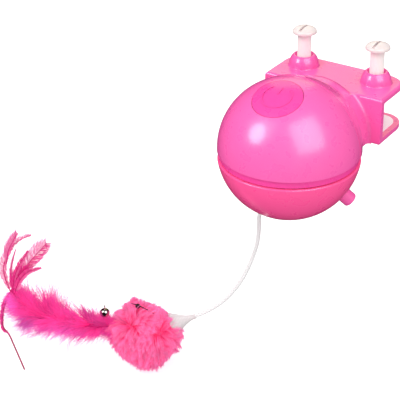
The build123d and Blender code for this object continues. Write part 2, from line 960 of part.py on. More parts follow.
with BuildPart() as case_screws:
    screws(
        [upright(place) for place in case_places],
        case_head_low,
        case_screw_length,
        case_screw_r,
        case_screw_head_r,
        case_screw_head,
    )

with BuildPart() as spindle_bush:
    tube(ball_plane, -band_low, floor_top + bush_flange, bush_r)
    tube(ball_plane, floor_top, floor_top + bush_flange, bush_flange_r)
    tube(
        ball_plane,
        -band_low - cut_over,
        floor_top + bush_flange + cut_over,
        spindle_r + close_fit,
        mode=Mode.SUBTRACT,
    )

# Gear plate over the train, with the pins and the screws that hold it
with BuildPart() as gear_plate:
    with BuildSketch(level(gear_plate_low)):
        Circle(gear_plate_r)
        with Locations((0, -post_r)):
            Rectangle(2 * gear_plate_r, 2 * gear_plate_r - post_r, mode=Mode.INTERSECT)
        Circle(spindle_r + cell_gap, mode=Mode.SUBTRACT)
        with Locations(motor_place):
            Circle(motor_nose_r + slip, mode=Mode.SUBTRACT)
        with Locations(*plate_posts):
            Circle(plate_screw_r + slip, mode=Mode.SUBTRACT)
        with Locations(*pin_places):
            Circle(pin_r, mode=Mode.SUBTRACT)
    extrude(amount=gear_plate_thick)
    second_hub_low = layer_lows[2]
    tube(upright(second_place), second_hub_low, gear_plate_low, hub_step_r, pin_r)

with BuildPart() as gear_pins:
    for place in pin_places:
        tube(upright(place), floor_top - pin_sink, gear_plate_top, pin_r)

with BuildPart() as gear_plate_screws:
    screws(
        [upright(place) for place in plate_posts],
        gear_plate_top,
        plate_screw_length,
        plate_screw_r,
        plate_screw_head_r,
        plate_screw_head,
        up=-1,
    )

# Spindle, its sleeve with two contact rings, and the brushes that reach them
hub_top = -band_low - hub_gap
hub_low = cover_top - cover_hub
spindle_low = -band_low - spindle_tail
ring_lows = [ring_first, ring_first + ring_pitch]
with BuildPart() as spindle:
    tube(ball_plane, spindle_low, spindle_top, spindle_r, spindle_bore_r)
    for low, high in ((layer_lows[0], spindle_top), (spindle_low, hub_top)):
        with BuildSketch(level(low)):
            with Locations((spindle_flat + spindle_r, 0)):
                Rectangle(2 * spindle_r, 2 * spindle_r)
        extrude(amount=high - low, mode=Mode.SUBTRACT)
    tube(
        ball_plane,
        hub_low - clip_thick,
        hub_low,
        spindle_r + cut_over,
        spindle_r - groove_depth,
        mode=Mode.SUBTRACT,
    )

with BuildPart() as ring_sleeve:
    tube(ball_plane, sleeve_low, spindle_top - slip, ring_r)
    flatted(spindle_r, spindle_flat, sleeve_low, spindle_top, mode=Mode.SUBTRACT)
    for low in ring_lows:
        tube(ball_plane, low, low + ring_height, ring_r + cut_over, ring_sleeve_r, mode=Mode.SUBTRACT)

with BuildPart() as slip_rings:
    for low in ring_lows:
        tube(ball_plane, low, low + ring_height, ring_r, ring_sleeve_r)

with BuildPart() as brush_block:
    block((brush_near, brush_near + brush_holder), (-brush_half, brush_half), (ring_first, gear_plate_low))
    for low in ring_lows:
        for way in (-1, 1):
            near = way * (ring_r + seat_gap)
            far = way * (ring_r + seat_gap + brush_thick)
            block(
                (brush_near - cut_over, brush_near + brush_holder / 2),
                (min(near, far), max(near, far)),
                (low, low + ring_height),
                mode=Mode.SUBTRACT,
            )

with BuildPart() as ring_brushes:
    for low in ring_lows:
        for way in (-1, 1):
            near = way * (ring_r + seat_gap)
            far = way * (ring_r + seat_gap + brush_thick)
            block(
                (-brush_past, brush_near + brush_holder / 2),
                (min(near, far), max(near, far)),
                (low, low + ring_height),
            )

with BuildPart() as spindle_clip:
    with BuildSketch(level(hub_low - clip_thick)):
        Circle(clip_r)
        Circle(spindle_r - groove_depth, mode=Mode.SUBTRACT)
        with Locations((-clip_r, 0)):
            Rectangle(2 * clip_r, 2 * spindle_bore_r, mode=Mode.SUBTRACT)
    extrude(amount=clip_thick)

# Battery tray with three cells, its front contacts, and the door in the clamp's wall
cell_places = [-cell_pitch, 0, cell_pitch]
tray_half = bay_half + tray_wall
with BuildPart() as battery_tray:
    with BuildSketch(level(gear_plate_top)):
        with Locations((0, (tray_front + wall_front - slip) / 2)):
            Rectangle(2 * tray_half, wall_front - slip - tray_front)
    extrude(amount=tray_height)
    block(
        (-bay_half, bay_half),
        (tray_front + tray_wall, wall_front + cut_over),
        (bay_low, bay_low + tray_height + cut_over),
        mode=Mode.SUBTRACT,
    )
    with BuildSketch(level(gear_plate_top)):
        with GridLocations(0, cell_length / 2, 1, 2):
            with Locations((0, (tray_front + wall_front) / 2)):
                SlotOverall(2 * cell_pitch, cell_nub_r, mode=Mode.ADD)
    extrude(amount=tray_wall, mode=Mode.SUBTRACT)

with BuildPart() as batteries:
    for index, across in enumerate(cell_places):
        nub_back = index % 2 == 0
        front = cell_front if nub_back else cell_front + cell_nub
        back = cell_back - cell_nub if nub_back else cell_back
        cell_plane = Plane(ball + Vector(across, 0, cell_axis), x_dir=(1, 0, 0), z_dir=(0, 1, 0))
        tube(cell_plane, front, back, cell_r)
        tube(cell_plane, cell_front, cell_back, cell_nub_r)

with BuildPart() as front_contacts:
    for start, end in ((0, 0), (1, 2)):
        block(
            (cell_places[start] - contact_half, cell_places[end] + contact_half),
            (cell_front - contact_thick, cell_front),
            (bay_low, cell_axis + contact_half),
        )

door_inner = wall_back - door_thick + seat_gap
with BuildPart() as door_contacts:
    for start, end in ((0, 1), (2, 2)):
        block(
            (cell_places[start] - contact_half, cell_places[end] + contact_half),
            (door_inner - contact_thick, door_inner),
            (bay_low + contact_spring, cell_axis + contact_half),
        )
    for across in cell_places:
        centre = ball + Vector(across, door_inner - contact_thick, cell_axis)
        with BuildSketch(Plane(centre, x_dir=(1, 0, 0), z_dir=(0, -1, 0))):
            Circle(contact_spring_r)
        extrude(amount=contact_spring - seat_gap / 2, taper=contact_taper)

with BuildPart() as battery_door:
    with BuildSketch(Plane(ball + Vector(0, wall_back, 0), x_dir=(-1, 0, 0), z_dir=(0, 1, 0))):
        with Locations((0, (door_low + door_high) / 2)):
            RectangleRounded(2 * (door_half - slip), door_high - door_low - 2 * slip, edge_r)
    extrude(amount=door_inner - wall_back)
    rib_x = bay_half - slip
    for way in (-1, 1):
        block(
            (min(way * rib_x, way * (rib_x - tray_wall)), max(way * rib_x, way * (rib_x - tray_wall))),
            (door_inner - door_rib, door_inner),
            (bay_low + slip, bay_high - slip),
        )
    with BuildSketch(Plane(ball + Vector(0, wall_back, door_high), x_dir=(-1, 0, 0), z_dir=(0, 1, 0))):
        Circle(door_notch_r)
    extrude(amount=-door_notch, mode=Mode.SUBTRACT)

# Bowl: lower shell with a rounded rim, posts for its cover, and holes for the laser's nose and the cord
bowl_posts = [around(bowl_post_radius, angle) for angle in bowl_post_angles]
cover_r = chord(bowl_inner_r, cover_low) - slip
with BuildPart() as bowl_post_form:
    for place in bowl_posts:
        tube(upright(place), -ball_r, cover_low, bowl_post_r)
    ball_form(bowl_inner_r + sink, mode=Mode.INTERSECT)
    for place in bowl_posts:
        tube(
            upright(place),
            cover_low - plate_screw_length,
            cover_low + cut_over,
            plate_screw_r + close_fit,
            mode=Mode.SUBTRACT,
        )

with BuildPart() as bowl:
    ball_form(bowl_r)
    ball_form(bowl_inner_r, mode=Mode.SUBTRACT)
    block((-bowl_r, bowl_r), (-bowl_r, bowl_r), (-bowl_r, bowl_top), mode=Mode.INTERSECT)
    fillet(bowl.edges().group_by(Axis.Z)[-1].sort_by(SortBy.LENGTH)[-1], rim_round)
    add(bowl_post_form.part)
    tube(laser_plane, nose_inner, nose_tip, nose_r, mode=Mode.SUBTRACT)
    tube(cord_plane, nose_inner, nose_tip, grommet_r, mode=Mode.SUBTRACT)

with BuildPart() as bowl_cover:
    tube(ball_plane, cover_low, cover_top, cover_r)
    tube(ball_plane, hub_low, hub_top, cover_hub_r)
    flatted(spindle_r, spindle_flat, hub_low - cut_over, hub_top + cut_over, mode=Mode.SUBTRACT)
    for place in bowl_posts:
        tube(
            upright(place),
            cover_top - plate_screw_head - seat_gap,
            cover_top + cut_over,
            plate_screw_head_r + slip,
            mode=Mode.SUBTRACT,
        )
        tube(upright(place), cover_low, cover_top, plate_screw_r + slip, mode=Mode.SUBTRACT)

with BuildPart() as bowl_cover_screws:
    screws(
        [upright(place) for place in bowl_posts],
        cover_top - plate_screw_head - seat_gap,
        plate_screw_length,
        plate_screw_r,
        plate_screw_head_r,
        plate_screw_head,
        up=-1,
    )

# Laser: nose through the bowl, barrel and lens inside it, driver board behind
with BuildPart() as nose_flange_form:
    tube(laser_plane, nose_inner, bowl_inner_r, nose_flange_r)
    ball_form(bowl_inner_r, mode=Mode.INTERSECT)
    ball_form(bowl_inner_r - nose_flange, mode=Mode.SUBTRACT)

with BuildPart() as laser_nose:
    tube(laser_plane, nose_inner, nose_tip, nose_r)
    fillet(laser_nose.edges().sort_by(Axis(ball, laser_way))[-1], nose_round)
    add(nose_flange_form.part)
    tube(laser_plane, nose_inner - cut_over, barrel_front, barrel_r, mode=Mode.SUBTRACT)
    tube(laser_plane, barrel_front, nose_tip + cut_over, lens_r, mode=Mode.SUBTRACT)

barrel_back = barrel_front - barrel_length
with BuildPart() as laser_barrel:
    tube(laser_plane, barrel_back, barrel_front, barrel_r)
    tube(laser_plane, barrel_front - lens_thick - seat_gap, barrel_front, lens_r, mode=Mode.SUBTRACT)
    tube(laser_plane, barrel_back + barrel_wall, barrel_front, beam_r, mode=Mode.SUBTRACT)

with BuildPart() as laser_lens:
    tube(laser_plane, barrel_front - lens_thick - seat_gap, barrel_front - seat_gap, lens_r)

with BuildPart() as laser_driver_board:
    with BuildSketch(laser_plane.offset(barrel_back - driver_thick)):
        Circle(nose_flange_r)
    extrude(amount=driver_thick)
    with BuildSketch(laser_plane.offset(barrel_back - driver_thick)):
        Rectangle(chip_width, chip_width / 2)
    extrude(amount=-chip_height)

# Cord grommet, the knot behind it, and the hanging cord
with BuildPart() as cord_grommet:
    tube(cord_plane, chord(bowl_r, grommet_flange_r), bowl_r + grommet_flange, grommet_flange_r)
    ball_form(bowl_r, mode=Mode.SUBTRACT)
    tube(cord_plane, grommet_inner, bowl_r + grommet_flange - sink, grommet_r)
    tube(
        cord_plane,
        grommet_inner - cut_over,
        bowl_r + grommet_flange + cut_over,
        cord_r,
        mode=Mode.SUBTRACT,
    )

with BuildPart() as cord_knot:
    tube(cord_plane, knot_place, cord_start, cord_r)
    with Locations(ball + cord_way * knot_place):
        Sphere(knot_r)
    tube(cord_plane, grommet_inner, cord_start, knot_r, cord_r, mode=Mode.SUBTRACT)

cord_points = [ball + cord_way * cord_start] + [toy_point(out, up) for out, up in cord_route]


def bend_radii(points):
    """Bend radius at each inner corner of a route, from its shorter run and its turn."""
    radii = []
    for before, corner, after in zip(points, points[1:], points[2:]):
        shorter = min((corner - before).length, (after - corner).length)
        turn = radians((corner - before).get_angle(after - corner))
        radii.append(cord_bend_share * shorter / tan(turn / 2))
    return radii


def bent_rod(points, radius):
    """Round rod along a route of straight runs joined by arcs."""
    with BuildLine() as route:
        FilletPolyline(*points, radius=bend_radii(points))
    with BuildSketch(Plane(points[0], z_dir=points[1] - points[0])) as section:
        Circle(radius)
    sweep(section.sketch, path=route.wire())
    return route.wire().length


with BuildPart() as cord:
    cord_length = bent_rod(cord_points, cord_r)

# Mouse body: an egg turned about a level axis in the toy's plane
body_centre = toy_point(0, body_axis)
with BuildPart() as toy_body:
    with BuildSketch(toy_plane):
        with BuildLine():
            EllipticalCenterArc(
                (body_middle, body_axis), body_front - body_middle, body_r, start_angle=0, arc_size=90
            )
            EllipticalCenterArc(
                (body_middle, body_axis), body_middle - body_back, body_r, start_angle=90, arc_size=90
            )
            Line((body_back, body_axis), (body_front, body_axis))
        make_face()
    revolve(axis=Axis(body_centre, toy_out))

# Muzzle: a white cone turned about the line from the cord's end to the body's middle
muzzle_tip = cord_points[-1]
muzzle_way = (toy_point(body_middle, body_axis) - muzzle_tip).normalized()
muzzle_plane = Plane(muzzle_tip, x_dir=muzzle_way, z_dir=toy_face)
with BuildPart() as toy_muzzle:
    with BuildSketch(muzzle_plane):
        with BuildLine():
            Line((0, 0), (0, muzzle_tip_r))
            Spline(
                (0, muzzle_tip_r),
                (muzzle_neck, muzzle_neck_r),
                (muzzle_length, muzzle_r),
                (muzzle_length + muzzle_neck, muzzle_r - muzzle_tip_r),
            )
            Polyline(
                (muzzle_length + muzzle_neck, muzzle_r - muzzle_tip_r),
                (muzzle_length + muzzle_neck, 0),
                (0, 0),
            )
        make_face()
    revolve(axis=Axis(muzzle_tip, muzzle_way))
    add(toy_body.part, mode=Mode.SUBTRACT)
    add(cord.part, mode=Mode.SUBTRACT)

with BuildPart() as toy_eyes:
    for angle in (eye_up_angle, eye_far_angle):
        lift = body_r + eye_r / 2
        near = -lift * sin(radians(angle))
        with Locations(toy_point(body_middle - eye_back, body_axis + lift * cos(radians(angle)), near)):
            Sphere(eye_r)
    add(toy_body.part, mode=Mode.SUBTRACT)

# Tail: round stations lofted along a rising line, each square to the line through its neighbours
tail_root = body_back + tail_sunk
tail_points = [
    toy_point(tail_root - tail_length * along, body_axis + tail_rise * rise)
    for along, rise, girth in tail_shares
]
with BuildPart() as toy_tail:
    for index, (along, rise, girth) in enumerate(tail_shares):
        before = tail_points[max(index - 1, 0)]
        after = tail_points[min(index + 1, len(tail_points) - 1)]
        with BuildSketch(Plane(tail_points[index], x_dir=toy_face, z_dir=after - before)):
            Circle(tail_r * girth)
    loft()
    add(toy_body.part, mode=Mode.SUBTRACT)

# Feathers and a bare quill, which start at the tail's tip
tail_tip = (tail_root - tail_length, body_axis + tail_rise)
with BuildPart() as toy_feathers:
    for layer, *outline in feather_shares:
        base, rise, tip, fall = [
            (tail_tip[0] + feather_length * out, tail_tip[1] + feather_length * up) for out, up in outline
        ]
        with BuildSketch(toy_plane.offset(feather_pitch * layer - feather_thick / 2)):
            with BuildLine():
                ThreePointArc(base, rise, tip)
                ThreePointArc(tip, fall, base)
            make_face()
        extrude(amount=feather_thick)
    add(toy_tail.part, mode=Mode.SUBTRACT)

quill_points = [
    toy_point(tail_tip[0] + quill_drop * out, tail_tip[1] + quill_drop * up, quill_drop * near)
    for out, near, up in quill_shares
]
with BuildPart() as tail_quill:
    bent_rod(quill_points, quill_r)
    add(toy_tail.part, mode=Mode.SUBTRACT)
    add(toy_feathers.part, mode=Mode.SUBTRACT)

# Bell on the tail's base: slit shell with a wire loop, and its loose pellet
bell_centre = toy_point(body_back - bell_back, body_axis + bell_rise)
with BuildPart() as toy_bell:
    with Locations(bell_centre):
        Sphere(bell_r)
        Sphere(bell_r - bell_wall, mode=Mode.SUBTRACT)
    with BuildSketch(Plane(bell_centre, x_dir=toy_face, z_dir=(0, 0, -1))):
        Rectangle(2 * bell_r * bell_slit_share, bell_slot)
        with Locations((-bell_r * bell_slit_share, 0), (bell_r * bell_slit_share, 0)):
            Circle(bell_slot)
    extrude(amount=bell_r + cut_over, mode=Mode.SUBTRACT)
    with Locations(Plane(bell_centre + Vector(0, 0, bell_r + bell_loop_r - bell_wire_r), z_dir=toy_out)):
        Torus(bell_loop_r, bell_wire_r)
    add(toy_tail.part, mode=Mode.SUBTRACT)

with BuildPart() as bell_pellet:
    with Locations(bell_centre - Vector(0, 0, bell_r - bell_wall - pellet_r)):
        Sphere(pellet_r)

# Cord figures: bend radii, and the tube's volume beside its section times its length
print("cord length", round(cord_length, 1), "radii", [round(radius, 1) for radius in bend_radii(cord_points)])
print("cord volume", round(cord.part.volume, 1), "of", round(pi * cord_r**2 * cord_length, 1))

# One labelled STEP file per piece
pieces = {
    "dome": dome,
    "clamp_bracket": clamp_bracket,
    "jaw_pad": jaw_pad,
    "clamp_screw_left": clamp_screw_left,
    "clamp_screw_right": clamp_screw_right,
    "power_button": power_button,
    "switch_plunger": switch_plunger,
    "tact_switch": tact_switch,
    "control_board": control_board,
    "board_screws": board_screws,
    "chassis": chassis,
    "case_screws": case_screws,
    "spindle_bush": spindle_bush,
    "gear_plate": gear_plate,
    "gear_plate_screws": gear_plate_screws,
    "gear_pins": gear_pins,
    "drive_motor": drive_motor,
    "motor_shaft": motor_shaft,
    "motor_pinion": motor_pinion,
    "first_gear": first_gear,
    "second_gear": second_gear,
    "output_gear": output_gear,
    "spindle": spindle,
    "spindle_clip": spindle_clip,
    "ring_sleeve": ring_sleeve,
    "slip_rings": slip_rings,
    "brush_block": brush_block,
    "ring_brushes": ring_brushes,
    "battery_tray": battery_tray,
    "batteries": batteries,
    "front_contacts": front_contacts,
    "battery_door": battery_door,
    "door_contacts": door_contacts,
    "bowl": bowl,
    "bowl_cover": bowl_cover,
    "bowl_cover_screws": bowl_cover_screws,
    "laser_nose": laser_nose,
    "laser_barrel": laser_barrel,
    "laser_lens": laser_lens,
    "laser_driver_board": laser_driver_board,
    "cord_grommet": cord_grommet,
    "cord_knot": cord_knot,
    "cord": cord,
    "toy_muzzle": toy_muzzle,
    "toy_body": toy_body,
    "toy_eyes": toy_eyes,
    "toy_bell": toy_bell,
    "bell_pellet": bell_pellet,
    "toy_tail": toy_tail,
    "toy_feathers": toy_feathers,
    "tail_quill": tail_quill,
}
for label, piece in pieces.items():
    piece.part.label = label
    export_step(piece.part, f"parts/{label}.step")
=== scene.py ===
import json
import math

import bpy
import numpy as np
from mathutils import Matrix, Vector


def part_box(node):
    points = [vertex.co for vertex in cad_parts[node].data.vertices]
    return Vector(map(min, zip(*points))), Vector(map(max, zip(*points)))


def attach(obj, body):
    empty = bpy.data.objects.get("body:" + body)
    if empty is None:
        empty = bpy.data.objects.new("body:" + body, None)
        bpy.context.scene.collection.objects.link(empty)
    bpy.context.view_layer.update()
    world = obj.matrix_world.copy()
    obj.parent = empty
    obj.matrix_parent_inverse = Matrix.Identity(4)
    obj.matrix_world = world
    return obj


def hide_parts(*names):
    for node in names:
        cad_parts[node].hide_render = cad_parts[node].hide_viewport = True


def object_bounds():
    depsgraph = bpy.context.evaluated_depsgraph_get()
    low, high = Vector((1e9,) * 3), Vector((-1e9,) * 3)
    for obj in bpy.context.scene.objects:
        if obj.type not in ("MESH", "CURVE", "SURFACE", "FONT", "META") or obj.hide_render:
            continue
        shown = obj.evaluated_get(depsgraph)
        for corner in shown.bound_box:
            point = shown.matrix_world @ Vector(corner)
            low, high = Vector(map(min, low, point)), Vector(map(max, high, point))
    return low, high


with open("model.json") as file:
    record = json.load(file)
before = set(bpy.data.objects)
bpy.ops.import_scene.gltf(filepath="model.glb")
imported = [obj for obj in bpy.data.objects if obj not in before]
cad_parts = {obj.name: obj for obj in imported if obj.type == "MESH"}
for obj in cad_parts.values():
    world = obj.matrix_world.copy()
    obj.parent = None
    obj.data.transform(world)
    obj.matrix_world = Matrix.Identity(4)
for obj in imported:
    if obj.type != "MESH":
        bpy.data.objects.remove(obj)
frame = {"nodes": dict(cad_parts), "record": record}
nodes = frame["nodes"]
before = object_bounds()
rng = np.random.default_rng(11)

# ball's centre in millimetres: 5.3 mm above the bowl's rim
MM = 0.001
bowl_low, bowl_high = (np.array(v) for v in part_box("bowl"))
BALL = np.array([0.0, (bowl_low[1] + bowl_high[1]) / 2 / MM, bowl_high[2] / MM + 5.3])

# the toy hangs in an upright plane through the ball's centre: outwards, upwards and towards its near side
TURN = math.radians(34.2)
OUT = np.array([math.cos(TURN), math.sin(TURN), 0.0])
FACE = np.array([math.sin(TURN), -math.cos(TURN), 0.0])
UP = np.array([0.0, 0.0, 1.0])


def toy(h, z, n=0.0):
    """Point h outwards, z up and n in front of the toy's plane, in millimetres from the ball's centre."""
    return BALL + OUT * h + UP * z + FACE * n


# camera at the photo's place and angle
CAMERA_PLACE = (304.78, -536.96, 315.81)
FOCAL_PX, FRAME_PX, SENSOR = 1251.2, 400, 36
right = Vector((0.8318, 0.5549, -0.0153)).normalized()
up = Vector((-0.2622, 0.4171, 0.8702)).normalized()
back = right.cross(up).normalized()
up = back.cross(right)
cam_data = bpy.data.cameras.new("camera")
cam_data.lens = FOCAL_PX / FRAME_PX * SENSOR
cam_data.sensor_width = SENSOR
cam_data.clip_start = 0.05
cam_data.clip_end = 20
camera = bpy.data.objects.new("camera", cam_data)
place = Matrix((right, up, back)).transposed().to_4x4()
place.translation = Vector((BALL + CAMERA_PLACE) * MM)
camera.matrix_world = place
bpy.context.scene.collection.objects.link(camera)
bpy.context.scene.camera = camera


# node helpers
MIX_FIRST, MIX_SECOND, MIX_RESULT = 6, 7, 2


def is_socket(value):
    return hasattr(value, "is_output")


def dim(color, share):
    return [c * share for c in color]


class Tree:
    """Short way to build the node tree of a material or of the world."""

    def __init__(self, owner, shader="Principled BSDF"):
        owner.use_nodes = True
        self.owner = owner
        self.tree = owner.node_tree
        self.nodes = self.tree.nodes
        self.shader = self.nodes[shader]
        self.coords = None

    def add(self, kind, inputs=None, **fields):
        """New node with its fields set and its inputs set or linked."""
        node = self.nodes.new(kind)
        for key, value in fields.items():
            setattr(node, key, value)
        for key, value in (inputs or {}).items():
            self.set(node, key, value)
        return node

    def set(self, node, key, value):
        if is_socket(value):
            self.tree.links.new(value, node.inputs[key])
        else:
            node.inputs[key].default_value = value

    def shade(self, **values):
        """Inputs of the main shader; an underscore stands for a space."""
        for key, value in values.items():
            self.set(self.shader, key.replace("_", " "), value)

    def place(self):
        if self.coords is None:
            self.coords = self.add("ShaderNodeTexCoord").outputs["Object"]
        return self.coords

    def noise(self, scale, detail=3.0, vector=None):
        inputs = {"Vector": vector or self.place(), "Scale": scale, "Detail": detail, "Roughness": 0.5}
        return self.add("ShaderNodeTexNoise", inputs).outputs["Fac"]

    def span(self, value, low, high, to_low, to_high):
        """Value carried from one range to another and held inside it."""
        inputs = {"Value": value, "From Min": low, "From Max": high, "To Min": to_low, "To Max": to_high}
        return self.add("ShaderNodeMapRange", inputs).outputs["Result"]

    def patches(self, scale, to_low=0.0, to_high=1.0, detail=3.0, window=(0.3, 0.7)):
        """Soft patches: noise carried to a range of values."""
        return self.span(self.noise(scale, detail), *window, to_low, to_high)

    def calc(self, operation, *values):
        return self.add("ShaderNodeMath", dict(enumerate(values)), operation=operation).outputs[0]

    def blend(self, factor, first, second):
        """Mix of two colours, each given as a colour or a socket."""
        node = self.add("ShaderNodeMix", {0: factor}, data_type="RGBA")
        for key, value in ((MIX_FIRST, first), (MIX_SECOND, second)):
            self.set(node, key, value if is_socket(value) else (*value, 1))
        return node.outputs[MIX_RESULT]

    def groove(self, reach, closed, clear):
        """1 in narrow grooves and 0 on open faces; it masks painted shade."""
        near = self.add("ShaderNodeAmbientOcclusion", {"Distance": reach}, samples=12, only_local=True)
        return self.span(near.outputs["AO"], closed, clear, 1, 0)

    def fact(self, name):
        """Value that the mesh carries at its points."""
        return self.add("ShaderNodeAttribute", attribute_name=name).outputs["Fac"]

    def bump(self, height, strength, distance):
        node = self.add("ShaderNodeBump", {"Height": height, "Strength": strength, "Distance": distance})
        self.set(self.shader, "Normal", node.outputs[0])


def material(name):
    return Tree(bpy.data.materials.new(name))


def plastic(name, color, coat=0.5, glow=0.0, groove_shade=False):
    """Moulded gloss plastic: uneven tone and shine, faint waves, and painted shade in its grooves."""
    t = material(name)
    tone = t.blend(t.patches(26, detail=2), color, dim(color, 0.95))
    # painted shade: narrow grooves turn darker, where shade falls
    if groove_shade:
        tone = t.blend(t.groove(0.0012, 0.5, 0.8), tone, dim(color, 0.62))
    t.shade(
        Base_Color=tone,
        Roughness=t.patches(140, 0.26, 0.36, window=(0.35, 0.75)),
        Coat_Weight=coat,
        Coat_Roughness=0.17,
        # painted light where glow is above zero: the plastic glows in its own colour
        Emission_Color=(*color, 1),
        Emission_Strength=glow,
        IOR=1.49,
    )
    t.bump(t.calc("MULTIPLY", t.noise(45, 1), t.noise(700, 1)), 0.08, 0.00002)
    return t.owner


def matte(name, color, rough=0.45, grain=900, depth=0.00002, glow=0.0):
    """Plain moulded or coated surface with a fine grain."""
    t = material(name)
    t.shade(
        Base_Color=t.blend(t.patches(60), color, dim(color, 0.88)),
        Roughness=t.patches(300, rough - 0.08, rough + 0.1),
        # painted light where glow is above zero: the surface glows in its own colour
        Emission_Color=(*color, 1),
        Emission_Strength=glow,
    )
    t.bump(t.noise(grain), 0.5, depth)
    return t.owner


def metal(name, color, rough=0.22, brush=(40, 40, 900), depth=0.00001):
    """Metal with brush lines, or with small dents where the brush is even."""
    t = material(name)
    scale = t.add("ShaderNodeMapping", {"Vector": t.place(), "Scale": brush})
    lines = t.noise(1.0, 3, scale.outputs[0])
    t.shade(
        Metallic=1.0,
        Base_Color=t.blend(t.patches(120, window=(0.35, 0.7)), color, dim(color, 0.8)),
        Roughness=t.span(lines, 0.3, 0.7, rough, rough + 0.14),
    )
    t.bump(lines, 0.4, depth)
    return t.owner


# the clamp screws' heads start at HEAD, and their thread shows below THREAD_TOP
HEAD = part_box("clamp_screw_left")[1][2] - 0.0045
THREAD_TOP, THREAD_PITCH = 0.024, 0.00125


def nylon():
    """Milky nylon: some light passes into it, the shanks glow with painted light, painted shade darkens
    the slots, and fine turns of thread show inside the clamp.
    """
    t = material("nylon")
    height = t.add("ShaderNodeSeparateXYZ", {"Vector": t.place()}).outputs["Z"]
    body = t.blend(t.patches(90), (0.80, 0.70, 0.69), (0.74, 0.65, 0.64))
    t.shade(
        # painted shade: slots and narrow grooves turn darker, where shade falls
        Base_Color=t.blend(t.groove(0.002, 0.5, 0.9), body, (0.70, 0.60, 0.60)),
        Roughness=t.patches(400, 0.28, 0.42),
        Subsurface_Weight=0.3,
        Subsurface_Radius=(0.004, 0.0035, 0.003),
        Subsurface_Scale=0.5,
        # painted light: the shanks glow, fading out over the 4 mm below the heads, and the heads don't
        # glow
        Emission_Color=(0.85, 1.0, 0.95, 1),
        Emission_Strength=t.span(height, HEAD - 0.004, HEAD, 0.20, 0.0),
        IOR=1.53,
    )
    turns = t.calc("SINE", t.calc("MULTIPLY", height, 2 * math.pi / THREAD_PITCH))
    below = t.calc("LESS_THAN", height, THREAD_TOP)
    t.bump(t.calc("MULTIPLY", turns, below), 0.6, 0.00018)
    return t.owner


def cloth(name, color, threads, depth):
    """Woven cloth: two crossing sets of threads."""
    t = material(name)
    inputs = {"Vector": t.place(), "Scale": threads / 6, "Distortion": 1.5}
    weave = [t.add("ShaderNodeTexWave", inputs, bands_direction=way).outputs["Fac"] for way in "XZ"]
    both = t.calc("MULTIPLY", *weave)
    t.shade(
        # painted shade: the weave's low points are a tenth darker than its raised threads
        Base_Color=t.blend(both, dim(color, 0.9), color),
        Roughness=0.8,
        Sheen_Weight=0.4,
        Subsurface_Weight=0.25,
        Subsurface_Radius=(0.002, 0.002, 0.002),
        Subsurface_Scale=0.5,
    )
    t.bump(both, 0.5, depth)
    return t.owner


def braid(turns=46, starts=4):
    """Braided cord: two crossing sets of slanted strands along the curve's own map."""
    t = material("cord_braid")
    uv = t.add("ShaderNodeTexCoord").outputs["UV"]
    split = t.add("ShaderNodeSeparateXYZ", {"Vector": uv})
    along = t.calc("MULTIPLY", split.outputs["X"], 2 * math.pi * turns)
    across = t.calc("MULTIPLY", split.outputs["Y"], 2 * math.pi * starts)
    waves = [t.calc("SINE", t.calc(way, along, across)) for way in ("ADD", "SUBTRACT")]
    top = t.calc("MAXIMUM", *waves)
    t.shade(
        # painted shade: the dips between the strands are darker than their crests
        Base_Color=t.blend(t.span(top, -0.6, 0.9, 0, 1), (0.72, 0.70, 0.71), (0.93, 0.92, 0.92)),
        Roughness=0.7,
        Sheen_Weight=0.3,
    )
    t.bump(top, 0.7, 0.00025)
    return t.owner


def hair(name, root, tip, low=None, gloss=0.6, painted_glow=0.2, sheer=0.0, spread=(0.78, 1.14)):
    """Dyed strands that glow with painted light: colour runs from root to tip, varies by strand and may
    fade to a low tone.
    """
    t = material(name)
    tone = t.blend(t.fact("along"), root, tip)
    if low is not None:
        tone = t.blend(t.fact("under"), tone, low)
    value = t.span(t.fact("vary"), 0, 1, *spread)
    color = t.add("ShaderNodeHueSaturation", {"Color": tone, "Value": value}).outputs[0]
    t.shade(
        Base_Color=color,
        Roughness=gloss,
        Specular_IOR_Level=0.25,
        # painted light: the strands glow in their own colour, standing in for light lost among them
        Emission_Color=color,
        Emission_Strength=painted_glow,
    )
    through = t.add("ShaderNodeBsdfTranslucent", {"Color": color}).outputs[0]
    both = t.add("ShaderNodeMixShader", {0: 0.3, 1: t.shader.outputs[0], 2: through}).outputs[0]
    empty = t.add("ShaderNodeBsdfTransparent").outputs[0]
    thin = t.add("ShaderNodeMixShader", {0: sheer, 1: both, 2: empty}).outputs[0]
    t.set(t.nodes["Material Output"], "Surface", thin)
    return t.owner


def clear_lens():
    t = material("lens")
    t.shade(
        Base_Color=t.blend(t.noise(400, 2), (0.9, 0.12, 0.14), (0.8, 0.06, 0.1)),
        Roughness=0.04,
        Transmission_Weight=0.9,
        IOR=1.5,
    )
    t.bump(t.noise(300, 1), 0.1, 0.00001)
    return t.owner


def black_bead():
    t = material("bead")
    t.shade(
        Base_Color=t.blend(t.noise(500, 2), (0.006, 0.005, 0.007), (0.014, 0.011, 0.013)),
        Roughness=t.patches(900, 0.3, 0.45),
        Specular_IOR_Level=0.3,
    )
    return t.owner


